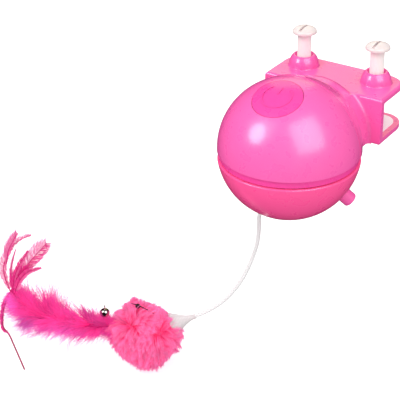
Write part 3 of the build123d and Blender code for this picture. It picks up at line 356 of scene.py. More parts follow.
# materials of the CAD nodes by slot; the turning half is a slightly redder pink than the still one, a tint
# that stands in for the different reflections on the two halves (painted reflection), and it glows faintly
# with painted light
PINK = (1.0, 0.125, 0.45)
ROSE = (1.0, 0.092, 0.32)
DEEP = (0.95, 0.06, 0.36)
mats = {
    "pink_shell": plastic("pink_shell", PINK),
    # painted light: the bowl glows faintly
    "rose_shell": plastic("rose_shell", ROSE, glow=0.12),
    "deep_pink": plastic("deep_pink", DEEP, coat=0.3, groove_shade=True),
    "nylon": nylon(),
    # painted light: the pad glows faintly
    "pad": matte("pad", (0.95, 0.90, 0.91), 0.6, 1400, 0.00006, glow=0.16),
    "white_plastic": matte("white_plastic", (0.86, 0.86, 0.84), 0.38),
    "black_plastic": matte("black_plastic", (0.025, 0.025, 0.03), 0.4),
    "steel": metal("steel", (0.66, 0.66, 0.68)),
    "brass": metal("brass", (0.83, 0.63, 0.28), 0.2),
    "bell": metal("bell", (0.62, 0.58, 0.56), 0.12, (90, 90, 90), 0.00004),
    "board": matte("board", (0.03, 0.22, 0.08), 0.35, 500, 0.00003),
    "cell": matte("cell", (0.12, 0.13, 0.16), 0.28, 300, 0.00001),
    "white_cloth": cloth("white_cloth", (0.70, 0.66, 0.665), 1500, 0.00014),
    "quill": matte("quill", (0.45, 0.05, 0.13), 0.4, 2000, 0.00003),
    "lens": clear_lens(),
    "bead": black_bead(),
}
slots = {s["node"]: s["material_slot"] for s in frame["record"]["subparts"]}
slots["bowl"] = "rose_shell"
for name, node in nodes.items():
    if slots.get(name) in mats:
        node.data.materials.clear()
        node.data.materials.append(mats[slots[name]])
    for poly in node.data.polygons:
        poly.use_smooth = True


# geometry helpers
def unit(v):
    return v / np.maximum(np.linalg.norm(v, axis=-1, keepdims=True), 1e-12)


def column(values):
    return np.asarray(values)[:, None]


def draw(span, count):
    """Random values that start at span's first number and run over its second."""
    low, width = span
    return low + width * rng.random(count)


def stations(count):
    """Shares of a strand's length, shaped for use with (N, S, 3) paths."""
    return np.linspace(0, 1, count)[None, :, None]


def build(name, verts, faces, mats_list, attributes=None, face_mats=None):
    """Mesh object from millimetre points, with point attributes for its material."""
    mesh = bpy.data.meshes.new(name)
    mesh.from_pydata((np.asarray(verts) * MM).tolist(), [], [list(f) for f in faces])
    for key, values in (attributes or {}).items():
        layer = mesh.attributes.new(key, "FLOAT", "POINT")
        layer.data.foreach_set("value", np.asarray(values, dtype=np.float32))
    for mat in mats_list:
        mesh.materials.append(mat)
    if face_mats is not None:
        mesh.polygons.foreach_set("material_index", face_mats)
    mesh.polygons.foreach_set("use_smooth", [True] * len(mesh.polygons))
    mesh.update()
    obj = bpy.data.objects.new(name, mesh)
    bpy.context.scene.collection.objects.link(obj)
    return obj


def band_faces(bands, sides):
    """Four-sided faces between rings of points that follow one another."""
    faces = []
    for s in range(bands):
        for k in range(sides):
            a, b = s * sides + k, s * sides + (k + 1) % sides
            faces.append((a, b, b + sides, a + sides))
    return faces


# shares of a strand's tone that come from its group, and from itself or a smaller group
GROUP_TONE, OWN_TONE = 0.55, 0.45


def strands(paths, radii, under=None, sides=3, tone=None):
    """Tapered closed strands along (N, S+1, 3) paths; returns points, faces and attributes."""
    n, count = paths.shape[0], paths.shape[1] - 1
    heading = unit(paths[:, -1] - paths[:, 0])
    side = unit(np.cross(heading, unit(rng.normal(size=(n, 3)))))
    other = np.cross(heading, side)
    taper = (1 - (np.arange(count) / count) ** 2.2)[None, :, None]
    rings = []
    for k in range(sides):
        a = 2 * math.pi * k / sides
        shift = (side * math.cos(a) + other * math.sin(a))[:, None, :] * radii[:, None, None] * taper
        rings.append(paths[:, :count] + shift)
    block = np.stack(rings, axis=2).reshape(n, count * sides, 3)
    verts = np.concatenate([block, paths[:, -1:, :]], axis=1)
    per = count * sides + 1
    last = (count - 1) * sides
    tips = [(last + k, last + (k + 1) % sides, per - 1) for k in range(sides)]
    base = (np.arange(n) * per)[:, None, None]
    quads = (np.array(band_faces(count - 1, sides))[None] + base).reshape(-1, 4)
    tris = (np.array(tips)[None] + base).reshape(-1, 3)
    along = np.concatenate([np.repeat(np.arange(count) / count, sides), [1.0]])
    vary = rng.random(n) if tone is None else GROUP_TONE * tone + OWN_TONE * rng.random(n)
    data = {
        "along": np.tile(along, n),
        "vary": np.repeat(vary, per),
        "under": np.repeat(np.zeros(n) if under is None else under, per),
    }
    return verts.reshape(-1, 3), [tuple(f) for f in quads.tolist() + tris.tolist()], data


def join(parts):
    """One set of points, faces, attributes and material numbers from several."""
    verts, faces, face_mats, data, base = [], [], [], {}, 0
    for points, polys, attrs, slot in parts:
        verts.append(points)
        faces += [tuple(i + base for i in f) for f in polys]
        face_mats += [slot] * len(polys)
        for key in ("along", "vary", "under"):
            values = attrs.get(key)
            data.setdefault(key, []).append(np.zeros(len(points)) if values is None else values)
        base += len(points)
    return np.concatenate(verts), faces, {k: np.concatenate(v) for k, v in data.items()}, face_mats


def rod(points, radii, sides=10):
    """Closed round rod along points with a radius at each."""
    points, radii = np.asarray(points), np.asarray(radii)
    heading = unit(np.gradient(points, axis=0))
    first = unit(np.cross(heading[0], [0.3, 0.2, 0.93]))
    verts = []
    for p, t, r in zip(points, heading, radii):
        first = unit(first - t * np.dot(first, t))
        second = np.cross(t, first)
        for k in range(sides):
            a = 2 * math.pi * k / sides
            verts.append(p + r * (first * math.cos(a) + second * math.sin(a)))
    faces = band_faces(len(points) - 1, sides)
    faces.append(tuple(range(sides))[::-1])
    faces.append(tuple(range((len(points) - 1) * sides, len(points) * sides)))
    return np.array(verts), faces


def smooth_line(points, count, per_span=24):
    """Even samples along a smooth curve through points."""
    p = np.asarray(points, dtype=float)
    ends = np.concatenate([[2 * p[0] - p[1]], p, [2 * p[-1] - p[-2]]])
    out = []
    for i in range(len(p) - 1):
        a, b, c, d = ends[i : i + 4]
        bend, twist = 2 * a - 5 * b + 4 * c - d, 3 * b - a - 3 * c + d
        for u in np.linspace(0, 1, per_span, endpoint=False):
            out.append(0.5 * (2 * b + (c - a) * u + bend * u**2 + twist * u**3))
    out.append(p[-1])
    out = np.array(out)
    run = np.concatenate([[0], np.cumsum(np.linalg.norm(np.diff(out, axis=0), axis=1))])
    want = np.linspace(0, run[-1], count)
    return np.stack([np.interp(want, run, out[:, k]) for k in range(out.shape[1])], axis=1)


def nearest_of(points, centres, batch=2000):
    """Number of the centre that lies nearest to each point."""
    found = np.zeros(len(points), dtype=int)
    for low in range(0, len(points), batch):
        part = points[low : low + batch]
        gaps = np.linalg.norm(part[:, None] - centres[None], axis=2)
        found[low : low + batch] = np.argmin(gaps, axis=1)
    return found


# cord: from the grommet at the bowl's skin to the mouse's nose
CORD_R = 1.25
GROMMET_R, GROMMET_TURN = 38.6, math.radians(21.3)
start = BALL + GROMMET_R * (OUT * -math.sin(GROMMET_TURN) - UP * math.cos(GROMMET_TURN))
NOSE = (-53.5, -111.8)
ROUTE = [
    (-16.5, -42.3),
    (-16.2, -49.8),
    (-16.8, -61.0),
    (-20.8, -75.0),
    (-28.2, -91.5),
    (-41.5, -106.5),
    NOSE,
]
cord_points = [start] + [toy(*place) for place in ROUTE]
curve = bpy.data.curves.new("cord_line", "CURVE")
curve.dimensions = "3D"
spline = curve.splines.new("NURBS")
spline.points.add(len(cord_points) - 1)
for point, co in zip(spline.points, cord_points):
    point.co = (*(co * MM), 1)
spline.order_u = 3
spline.use_endpoint_u = True
spline.resolution_u = 24
curve.bevel_depth = CORD_R * MM
curve.bevel_resolution = 6
curve.use_fill_caps = True
curve.materials.append(braid())
cord = bpy.data.objects.new("cord_line", curve)
bpy.context.scene.collection.objects.link(cord)


def nurbs_length(points, samples=1200):
    """Length of the quadratic line with clamped ends that these points shape."""
    p = np.asarray(points)
    knots = [0, 0] + list(range(len(p) - 1)) + [len(p) - 2] * 2
    total, last = 0.0, None
    for u in np.linspace(0, len(p) - 2 - 1e-9, samples):
        k = int(u) + 2
        d = [p[j + k - 2].copy() for j in range(3)]
        for r in range(1, 3):
            for j in range(2, r - 1, -1):
                low, high = knots[j + k - 2], knots[j + 1 + k - r]
                a = (u - low) / (high - low)
                d[j] = (1 - a) * d[j - 1] + a * d[j]
        if last is not None:
            total += np.linalg.norm(d[2] - last)
        last = d[2]
    return total


cord_length = nurbs_length(cord_points)


# plush mouse body, in millimetres
BODY = toy(-83.6, -124.2)
SKIN_R = 15.6
SIDE, RISE, NEAR = (np.array(v) for v in (right, up, back))
# whorls that the pile spreads from: place to the side and above on the near half, and strength
WHORLS = [(-8.8, 6.5, 1.0), (8.6, 1.6, 0.9), (-3.0, 13.0, 0.3)]
WHORL_REACH, WHORL_GAIN, FALL = 15, 2.2, -0.25
# pile: strands in all and their radius, locks, steps along a strand, length, and reach along the skin
STRANDS = 42000
FUR_R = 0.085
LOCKS = 2200
FUR_STEPS = 7
PILE, LAID = 9.2, 0.82
# a lock's lean, curl, lift, length and gathering, and what each strand adds: lean and length
LOCK_LEAN, LOCK_CURL = 0.36, 0.07
LIFT, LOCK_LENGTH, GATHER = (0.24, 0.36), (0.80, 0.40), (0.45, 0.45)
STRAND_LEAN, STRAND_LENGTH = 0.10, 0.8
# how far a strand arches off the skin and to one side, and the turns of its curl
ARCH, BOW, CURL_TURNS = 0.15, 0.05, 5.5
# directions in which the pile is shorter, at the lower corners and above the muzzle, and by what share
SHORTER = [
    (-SIDE * 0.78 - RISE * 0.62, 0.35),
    (SIDE * 0.50 + RISE * 0.87, 0.62),
    (SIDE * 0.88 - RISE * 0.47, 0.25),
]
# raised tuft on the head's far side
EAR = toy(-91.0, -104.2, -11.1)
EAR_DROP, EAR_R, EAR_PULL = 7, 4.6, (0.55, 0.40)
# the muzzle's cone from the nose: length, radius at its tip and growth, and the part kept free all round
MUZZLE_LENGTH, MUZZLE_R, MUZZLE_SLOPE = 14.0, 1.4, 0.42
NOSE_LENGTH, NOSE_R = 5.5, 3.0
# the eye and the thread stitched through it
EYE = toy(-87.8, -105.1, -1.7)
THREAD = [
    toy(-92.2, -105.4, -5.2),
    toy(-90.0, -104.9, -3.4),
    toy(-87.8, -103.9, -1.2),
    toy(-84.8, -104.6, 0.8),
    toy(-81.2, -105.0, 3.4),
    toy(-77.9, -106.0, 5.6),
]
THREAD_GAP, EYE_GAP = 1.25, 2.2


def whorl_places():
    """Whorls on the near side, and two on the far side so that the pile has no bare pole."""
    spots = []
    for x, y, pull in WHORLS:
        depth = math.sqrt(SKIN_R**2 - x * x - y * y)
        spots.append((BODY + SIDE * x + RISE * y + NEAR * depth, pull))
    spots.append((BODY - NEAR * SKIN_R * 0.8 + RISE * SKIN_R * 0.5, 1.0))
    spots.append((BODY - NEAR * SKIN_R * 0.6 - SIDE * SKIN_R * 0.7, 0.8))
    return spots


def fur_roots(count):
    """Roots spread evenly over the egg-shaped skin, and the direction straight out of it at each."""
    k = np.arange(count) + 0.5
    polar = np.arccos(1 - 2 * k / count)
    turn = math.pi * (1 + 5**0.5) * k
    local = np.stack([np.cos(polar), np.sin(polar) * np.cos(turn), np.sin(polar) * np.sin(turn)], axis=1)
    local = unit(local + rng.normal(scale=0.03, size=local.shape))
    normal = local @ np.stack([OUT, UP, FACE])
    return BODY + normal * (SKIN_R - 0.4) + OUT * (local[:, :1] * 1.4), normal


def fur_flow(roots, normal):
    """Direction along the skin in which the pile is combed: away from the whorls, and a little down."""
    flow = FALL * UP
    for spot, pull in whorl_places():
        away = roots - spot
        gap = np.linalg.norm(away, axis=1, keepdims=True)
        flow = flow + pull * unit(away) * np.exp(-((gap / WHORL_REACH) ** 2)) * WHORL_GAIN
    flow -= normal * np.sum(flow * normal, axis=1, keepdims=True)
    return unit(flow)


def clear_of_face(line):
    """Which strands leave the muzzle's upper side, the eye and its thread free."""
    nose = toy(*NOSE)
    axis = unit(toy(-84, -124.2) - nose)
    rel = line[:, -1] - nose
    deep = rel @ axis
    away = rel - column(deep) * axis
    off = np.linalg.norm(away, axis=1)
    upper = away @ RISE > -0.35 * off
    cone = MUZZLE_R + MUZZLE_SLOPE * np.maximum(deep, 0)
    keep = ~((deep < MUZZLE_LENGTH) & (off < cone) & upper)
    keep &= ~((deep < NOSE_LENGTH) & (off < NOSE_R))
    for spots, reach in ((smooth_line(THREAD, 24), THREAD_GAP), (EYE[None], EYE_GAP)):
        gap = np.linalg.norm(line[:, 3:, None] - spots[None, None], axis=3).min(axis=(1, 2))
        keep &= gap > reach
    return keep


def fur_size(normal, nearest):
    """Length of each strand: by lock, by strand and by place."""
    lock = PILE * draw(LOCK_LENGTH, LOCKS)[nearest]
    size = column(lock + rng.normal(scale=STRAND_LENGTH, size=len(nearest)))
    for way, cut in SHORTER:
        size = size * column(1 - cut * np.clip((normal @ unit(way) - 0.62) / 0.25, 0, 1))
    return size


def gathered(tips, roots, normal, centres, nearest):
    """Tips drawn to the middle of their lock, and those of the tuft to one point."""
    gather = column(draw(GATHER, len(tips)))
    point = tips[centres[nearest]] + normal[centres[nearest]] * 0.5
    tips = tips * (1 - gather) + point * gather
    ear = np.linalg.norm(roots - (EAR - UP * EAR_DROP), axis=1) < EAR_R
    pull = column(draw(EAR_PULL, len(tips)) * ear)
    return tips * (1 - pull) + (EAR + rng.normal(scale=0.5, size=tips.shape)) * pull


def fur_paths(count):
    """Combed pile: strands run away from whorls in fine locks and lift at the tips."""
    roots, normal = fur_roots(count)
    flow = fur_flow(roots, normal)
    centres = rng.choice(count, LOCKS, replace=False)
    nearest = nearest_of(roots, roots[centres])
    lean = unit(np.cross(normal, flow)) * column(rng.normal(scale=LOCK_LEAN, size=LOCKS)[nearest])
    flow = unit(flow + lean + rng.normal(scale=STRAND_LEAN, size=flow.shape))
    lift = column(draw(LIFT, LOCKS)[nearest])
    size = fur_size(normal, nearest)
    tips = gathered(roots + flow * size * LAID + normal * size * lift, roots, normal, centres, nearest)

    steps = stations(FUR_STEPS)
    arch = 4 * steps * (1 - steps)
    line = roots[:, None] * (1 - steps) + tips[:, None] * steps
    line += (normal * size * ARCH)[:, None] * arch
    bow = unit(np.cross(flow, normal) + rng.normal(scale=0.4, size=normal.shape)) * size * BOW
    line += bow[:, None] * arch * rng.normal(size=(count, 1, 1))
    curl = unit(np.cross(normal, flow)) * size * column(rng.normal(scale=LOCK_CURL, size=LOCKS)[nearest])
    line += curl[:, None] * np.sin(steps * CURL_TURNS)
    tone = rng.random(LOCKS)[nearest]
    keep = clear_of_face(line)
    return line[keep], tone[keep]


def egg(core, length, radius, rows=24, cols=36):
    """Slightly rippled skin under the pile, longer along OUT."""
    verts = []
    for i in range(rows + 1):
        for j in range(cols):
            a, b = math.pi * i / rows, 2 * math.pi * j / cols
            ripple = 1 + 0.02 * math.sin(5 * b + 3 * a) * math.sin(a)
            wide = math.sin(a) * radius * ripple
            across = UP * math.cos(b) + FACE * math.sin(b)
            verts.append(core + OUT * math.cos(a) * length + across * wide)
    return np.array(verts), band_faces(rows, cols)


fur_mat = hair("pink_fur", (0.98, 0.055, 0.29), (1.0, 0.34, 0.68), painted_glow=0.34, spread=(0.68, 1.15))
skin_mat = cloth("fur_backing", (0.97, 0.10, 0.34), 1800, 0.0001)
paths, tone = fur_paths(STRANDS)
pile = strands(paths, FUR_R + 0.04 * rng.random(len(paths)), tone=tone)
skin = egg(BODY, SKIN_R + 1.0, SKIN_R - 0.2)
verts, faces, data, face_mats = join([(*pile, 0), (*skin, {}, 1)])
plush = build("plush_body", verts, faces, [fur_mat, skin_mat], data, face_mats)


# marabou tail: places in the toy's plane, and how far the down reaches there
TAIL = [
    (-98.0, -118.6, 7.0),
    (-103.8, -118.7, 7.6),
    (-111.0, -117.9, 8.6),
    (-116.9, -116.6, 10.0),
    (-122.8, -115.9, 11.0),
    (-128.8, -115.6, 12.8),
    (-134.6, -114.5, 14.0),
    (-140.4, -112.4, 14.8),
    (-146.1, -109.4, 14.8),
    (-151.8, -105.0, 12.2),
    (-156.7, -99.4, 7.6),
    (-160.1, -94.4, 3.4),
    (-162.0, -91.0, 1.6),
]
# barbs in all and their radius, lobes, clumps of tips, and steps along a barb
BARBS = 13000
DOWN_R = 0.085
LOBES, CLUMPS = 70, 420
DOWN_STEPS = 7
# a lobe's length and lean, and each barb's own length, sweep, lean and gathering
LOBE_LENGTH, LOBE_LEAN = (0.62, 0.56), 0.40
BARB_LENGTH, SWEEP, BARB_LEAN, CLUMPING = (0.80, 0.45), (0.45, 0.6), 0.20, (0.05, 0.40)
# depth of the tail against its height, share of longer barbs, and how far a barb may pass the CAD box
FLATNESS, OUTLIERS, REACH = 0.62, 0.24, 12.0
# share of its length that a barb curls sideways, curls towards the tip and waves
CURL, TIP_CURL, WAVE = 0.15, 0.14, 0.06


def shaft_places(line, at):
    """Stations of the tail's shaft at shares of its length, and the directions along and across it."""
    where = at * (len(line) - 1)
    low = where.astype(int)
    part = column(where - low)
    spot = line[low] * (1 - part) + line[np.minimum(low + 1, len(line) - 1)] * part
    slope = unit(np.gradient(line[:, :2], axis=0))[low]
    along = OUT * slope[:, :1] + UP * slope[:, 1:2]
    across = UP * slope[:, :1] * -1 + OUT * slope[:, 1:2]
    return spot, along, across


def held_back(paths):
    """Barbs drawn in so that none passes the CAD box's low sides by more than REACH."""
    edge = np.array(before[0]) / MM - REACH
    foot, lowest = paths[:, 0], paths.min(axis=1)
    share = np.where(lowest < edge, (foot - edge) / np.maximum(foot - lowest, 1e-6), 1.0).min(axis=1)
    return foot[:, None] + (paths - foot[:, None]) * share[:, None, None]


def down_roots(count, line):
    """Roots round the shaft: place along it, the down's reach there, directions along it and out of it."""
    at = np.sort(rng.random(count) ** 0.95) * 0.97
    spot, along, across = shaft_places(line, at)
    turn = rng.random(count) * 2 * math.pi
    swirl = across * column(np.cos(turn)) + FACE * column(np.sin(turn)) * FLATNESS
    root = toy(spot[:, :1], spot[:, 1:2]) + swirl * column(rng.random(count) * 0.8)
    return at, spot[:, 2], along, swirl, root


def lobed(at, reach, along, swirl, root):
    """Heading, length and lobe of each barb; barbs of a lobe share a part of their length and lean."""
    count = len(root)
    lobes = rng.choice(count, LOBES, replace=False)
    lobe = nearest_of(root + swirl * 7, root[lobes] + swirl[lobes] * 7)
    lobe_length = draw(LOBE_LENGTH, LOBES)[lobe]
    lobe_lean = rng.normal(scale=LOBE_LEAN, size=(LOBES, 3))[lobe]
    forward = column(draw(SWEEP, count)) * (1 - 0.55 * column(at))
    lean = rng.normal(scale=BARB_LEAN, size=swirl.shape)
    heading = unit(swirl + along * forward + lobe_lean + lean)
    size = reach * lobe_length * draw(BARB_LENGTH, count) + 1.2
    longer = rng.random(count) < OUTLIERS
    size = np.where(longer, size * (1.15 + 0.55 * rng.random(count) ** 2), size * 0.90)
    return heading, size, lobe


def marabou_paths(count):
    """Soft barbs that leave a central shaft in uneven lobes, sweep towards the tip and curl."""
    line = smooth_line(TAIL, 200)
    at, reach, along, swirl, root = down_roots(count, line)
    heading, size, lobe = lobed(at, reach, along, swirl, root)

    # tips gather in clumps; barbs curl sideways and towards the tail's tip, and wave
    side = unit(rng.normal(size=swirl.shape))
    curl = side * column(size * CURL) + along * column(size * TIP_CURL)
    centres = rng.choice(count, CLUMPS, replace=False)
    ends = root + heading * column(size)
    nearest = nearest_of(ends, ends[centres])
    gather = column(draw(CLUMPING, count))
    ends = ends * (1 - gather) + ends[centres[nearest]] * gather
    steps = stations(DOWN_STEPS)
    paths = root[:, None] + (ends - root)[:, None] * steps + curl[:, None] * steps**2
    wave = unit(np.cross(heading, curl)) * column(size * WAVE)
    paths += wave[:, None] * np.sin(steps * 6.0 + 1) * steps

    # the lower side is violet towards the tip, and the root is darker where it is tied to the body
    under = np.clip(-(swirl @ UP) * 0.9 - 0.10 + 0.5 * rng.random(LOBES)[lobe], 0, 1)
    under = under * np.clip(at * 2.4 - 0.3, 0, 1)
    tied = np.clip(1 - at * 7, 0, 1)
    tone = GROUP_TONE * rng.random(LOBES)[lobe] + OWN_TONE * rng.random(CLUMPS)[nearest]
    return held_back(paths), under, line, tone * (1 - 0.45 * tied)


VIOLET = (1.0, 0.27, 0.86)
down_mat = hair(
    "marabou",
    (0.95, 0.006, 0.30),
    (1.0, 0.14, 0.60),
    VIOLET,
    painted_glow=0.34,
    sheer=0.10,
    spread=(0.54, 1.2),
)
paths, under, line, tone = marabou_paths(BARBS)
barbs = strands(paths, DOWN_R + 0.05 * rng.random(len(paths)), under, tone=tone)
shaft = rod(toy(line[:, :1], line[:, 1:2]), 0.8 + 0.10 * line[:, 2], 12)
verts, faces, data, _ = join([(*barbs, 0), (*shaft, {}, 0)])
tail = build("marabou_tail", verts, faces, [down_mat], data)


# hackle feathers: spine in the toy's plane, half widths on its left and right, share of loose barbs,
# paleness on its left and right, and distance in front of the plane
HIGH_SPINE = [
    (-161.9, -93.0),
    (-164.2, -84.6),
    (-164.9, -76.9),
    (-163.4, -70.1),
    (-160.9, -64.7),
    (-158.0, -60.3),
    (-154.6, -57.0),
    (-150.8, -54.8),
    (-147.0, -53.6),
]
FORK_SPINE = [(-162.6, -72.0), (-161.0, -64.0), (-157.8, -57.0), (-154.6, -51.4)]
THIN_SPINE = [(-161.4, -90.0), (-161.2, -80.5), (-159.8, -72.9), (-156.8, -63.4)]
DARK_SPINE = [(-160.8, -91.0), (-158.9, -81.5), (-154.9, -72.2), (-149.4, -63.4)]
BIG_SPINE = [
    (-160.1, -92.0),
    (-157.0, -83.4),
    (-151.7, -75.4),
    (-146.2, -68.6),
    (-141.4, -62.9),
    (-138.6, -59.8),
]
LOW_SPINE = [(-159.5, -92.0), (-156.5, -84.2), (-151.9, -78.4), (-147.1, -75.9), (-142.6, -74.5)]
BASE_SPINE = [(-160.6, -92.0), (-158.3, -84.0), (-155.0, -79.0), (-150.4, -74.6)]
HIGH_LEFT, HIGH_RIGHT = [0.6, 2.0, 2.8, 2.8, 2.4, 1.6, 1.1], [0.5, 1.6, 1.9, 1.5, 1.2, 0.9, 0.6]
PLUMES = [
    (HIGH_SPINE, HIGH_LEFT, HIGH_RIGHT, 0.5, (0.5, 0.1), 0.0),
    (FORK_SPINE, [0.8, 2.8, 2.8, 1.4], [0.3, 1.0, 1.1, 0.5], 0.7, (0.5, 0.3), 0.9),
    (THIN_SPINE, [0.4, 0.9, 0.7, 0.3], [0.3, 0.8, 0.6, 0.3], 0.7, (0.6, 0.5), -0.9),
    (DARK_SPINE, [0.6, 1.3, 1.5, 0.6], [0.5, 1.2, 1.4, 0.5], 0.2, (0.0, 0.2), 1.4),
    (BIG_SPINE, [0.6, 2.0, 3.8, 5.0, 4.6, 2.0], [0.6, 2.2, 3.8, 4.4, 3.8, 1.8], 0.16, (0.60, 0.15), -1.4),
    (LOW_SPINE, [0.8, 1.6, 1.7, 1.3, 0.5], [0.8, 1.6, 1.8, 1.3, 0.5], 0.6, (0.1, 0.3), 2.2),
    (BASE_SPINE, [2.4, 4.4, 3.0, 0.8], [2.6, 4.2, 2.8, 0.8], 0.45, (0.0, 0.0), 0.6),
]
PLUME_ROWS = 250
BARB_R = 0.118
SPINE_STEPS, QUILL_SIDES = 90, 8
VANE_STEPS, VANE_ARCH = 6, 0.28


def vane(middle, side, widths, loose, fade, n):
    """Slanted barbs on one side of a spine."""
    rows = PLUME_ROWS
    index = np.linspace(0, 1, SPINE_STEPS)
    slope = unit(np.gradient(middle, axis=0))
    at = np.linspace(0.06, 0.99, rows) + rng.normal(scale=0.003, size=rows)
    width = np.interp(at, np.linspace(0, 1, len(widths)), widths)
    root, along, across = (
        np.stack([np.interp(at, index, value[:, k]) for k in (0, 1)], axis=1)
        for value in (middle, slope, np.stack([-slope[:, 1], slope[:, 0]], axis=1))
    )
    clump = np.sin(at * 70 + 3 * n) * 0.14 + np.sin(at * 173) * 0.08
    stray = rng.random(rows) < loose
    reach = np.where(stray, 0.55 + 0.75 * rng.random(rows), 0.92 + 0.16 * rng.random(rows)) + clump
    lean = 1.5 + 0.35 * rng.normal(size=rows) * (0.4 + loose)
    end = across * column(side * width * reach) + along * column(width * reach * lean)
    steps = stations(VANE_STEPS)
    line = root[:, None] + end[:, None] * steps
    line += across[:, None] * (side * width * VANE_ARCH)[:, None, None] * (4 * steps * (1 - steps))
    lift = rng.normal(scale=0.20 + 0.3 * loose, size=rows)[:, None, None] * steps
    under = np.clip(fade + rng.normal(scale=0.15, size=rows), 0, 1)
    paths = toy(line[..., :1], line[..., 1:2], n + lift)
    return strands(paths, np.full(rows, BARB_R), under)


def plume(spine, left, right_side, loose, pale, n):
    """Tapering quill with a vane on each side, each with its own width and tone."""
    middle = smooth_line(spine, SPINE_STEPS)
    radii = 0.34 - 0.24 * np.linspace(0, 1, SPINE_STEPS)
    points = SPINE_STEPS * QUILL_SIDES
    tones = {"along": np.zeros(points), "vary": np.full(points, 0.1)}
    parts = [(*rod(toy(middle[:, :1], middle[:, 1:2], n), radii, QUILL_SIDES), tones, 0)]
    for side, widths, fade in ((1, left, pale[0]), (-1, right_side, pale[1])):
        parts.append((*vane(middle, side, widths, loose, fade, n), 0))
    return parts


PALE = (0.95, 0.46, 0.74)
hackle_mat = hair("hackle", (0.78, 0.02, 0.24), (0.93, 0.08, 0.48), PALE, gloss=0.4, painted_glow=0.28, sheer=0.06)
pieces = []
for shape in PLUMES:
    pieces += plume(*shape)
verts, faces, data, _ = join(pieces)
feathers = build("hackle_feathers", verts, faces, [hackle_mat], data)


# barbs combed down along the upper part of the bent quill
FUZZ, FUZZ_R, FUZZ_LENGTH = 900, 0.17, (3.4, 2.4)
QUILL_STEPS, FUZZ_END = 300, 290
QUILL = [(-161.4, 1.0, -90.8), (-167.4, 1.5, -102.0), (-168.8, 3.0, -115.0), (-164.8, 5.5, -118.6)]


def combed(size):
    """Barb paths and radii along the quill, shorter towards its lower end."""
    quill = smooth_line(QUILL, QUILL_STEPS)
    pick = rng.integers(0, FUZZ_END, size)
    h, n, z = (quill[pick][:, k : k + 1] for k in range(3))
    root = toy(h, z, n)
    slope = unit(np.gradient(quill, axis=0))[pick]
    flow = OUT * slope[:, :1] + FACE * slope[:, 1:2] + UP * slope[:, 2:3]
    heading = unit(flow + 0.32 * rng.normal(size=root.shape))
    length = draw(FUZZ_LENGTH, size) * (1 - 0.6 * (pick / FUZZ_END))
    paths = root[:, None] + heading[:, None] * stations(4) * length[:, None, None]
    return paths, np.full(size, FUZZ_R)


verts, faces, data = strands(*combed(FUZZ))
fuzz = build("quill_fuzz", verts, faces, [hackle_mat], data)

# black thread stitched through the eye, thinner at its ends
THREAD_STEPS = 60
thread_r = 0.30 - 0.16 * np.abs(np.linspace(-1, 1, THREAD_STEPS)) ** 3
stitch = build("eye_thread", *rod(smooth_line(THREAD, THREAD_STEPS), thread_r, 8), [mats["bead"]])


# who rides on what, and what it stands for
for obj in (cord, plush, tail, feathers, fuzz, stitch):
    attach(obj, "spinner")
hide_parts("cord")
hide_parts("toy_body")
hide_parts("toy_tail")
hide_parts("toy_feathers")


# floor
FLOOR_HALF, FLOOR_Z = 6.0, -0.1432
corners = [(x * FLOOR_HALF, y * FLOOR_HALF, 0) for x, y in ((-1, -1), (1, -1), (1, 1), (-1, 1))]
floor_mesh = bpy.data.meshes.new("floor")
floor_mesh.from_pydata(corners, [], [(0, 1, 2, 3)])
floor = bpy.data.objects.new("floor", floor_mesh)
floor.location = (0, 0, FLOOR_Z)
bpy.context.scene.collection.objects.link(floor)
ground = material("floor")
ground.shade(
    Base_Color=ground.blend(ground.patches(3, detail=2), (0.60, 0.60, 0.60), (0.62, 0.62, 0.62)),
    Roughness=0.9,
    Emission_Color=(1, 1, 1, 1),
    Emission_Strength=0.68,
)
floor.data.materials.append(ground.owner)

# the floor and the sky don't mirror in the object's gloss, as in a studio with black flags
floor.visible_glossy = False
floor.visible_diffuse = False
world = bpy.data.worlds.new("world")
bpy.context.scene.world = world
world.cycles_visibility.glossy = False

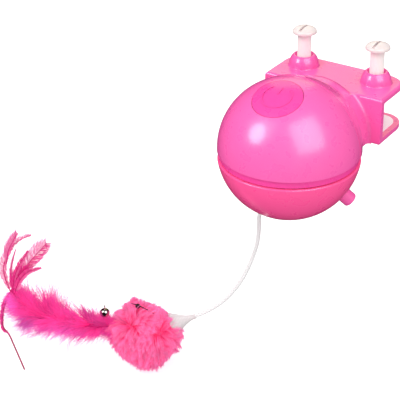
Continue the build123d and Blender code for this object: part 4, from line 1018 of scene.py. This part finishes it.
# soft studio: brighter above and on the right, dimmer straight below, and plain white to the camera
FILL = unit(np.array([0.75, -0.397, 0.05]))
ABOVE_GAIN, FILL_GAIN, SEEN = 0.46, 0.66, 1.42
sky = Tree(world, "Background")
way = sky.add("ShaderNodeTexCoord").outputs["Generated"]
tall = sky.add("ShaderNodeSeparateXYZ", {0: way}).outputs["Z"]
toward = sky.add("ShaderNodeVectorMath", {0: way, 1: tuple(FILL.tolist())}, operation="DOT_PRODUCT")
above = sky.calc("MULTIPLY", sky.calc("MAXIMUM", tall, 0.0), ABOVE_GAIN)
aside = sky.calc("MULTIPLY", sky.calc("MAXIMUM", toward.outputs["Value"], 0.0), FILL_GAIN)
glow = sky.calc("ADD", sky.calc("ADD", sky.span(tall, -1.0, -0.1, 0.32, 1.0), above), aside)
seen = sky.add("ShaderNodeLightPath").outputs["Is Camera Ray"]
sky.shade(Strength=0.75, Color=sky.calc("MAXIMUM", glow, sky.calc("MULTIPLY", seen, SEEN)))


def light(name, spot, width, height, watts, gloss_only=True, shape="RECTANGLE"):
    """Soft box that faces the ball: one for gloss shows only in highlights, the key only lights."""
    data = bpy.data.lights.new(name, "AREA")
    data.shape = shape
    data.size, data.size_y, data.energy = width, height, watts
    obj = bpy.data.objects.new(name, data)
    obj.location = spot
    obj.rotation_euler = (Vector(BALL * MM) - Vector(spot)).to_track_quat("-Z", "Y").to_euler()
    obj.visible_glossy = gloss_only
    obj.visible_diffuse = not gloss_only
    obj.visible_transmission = not gloss_only
    bpy.context.scene.collection.objects.link(obj)


light("key", (-0.35, -0.75, 0.85), 0.5, 0.5, 5.2, gloss_only=False)
light("left_box", (-0.301, -0.496, 0.347), 0.30, 0.32, 2.3, shape="ELLIPSE")
light("right_box", (0.442, -0.242, 0.421), 0.54, 0.58, 4.2)
light("back_box", (-0.439, 0.750, 0.560), 0.60, 0.60, 1.3)
bpy.data.lights["back_box"].color = (1.0, 0.9, 0.45)

bpy.context.scene.view_settings.view_transform = "Standard"
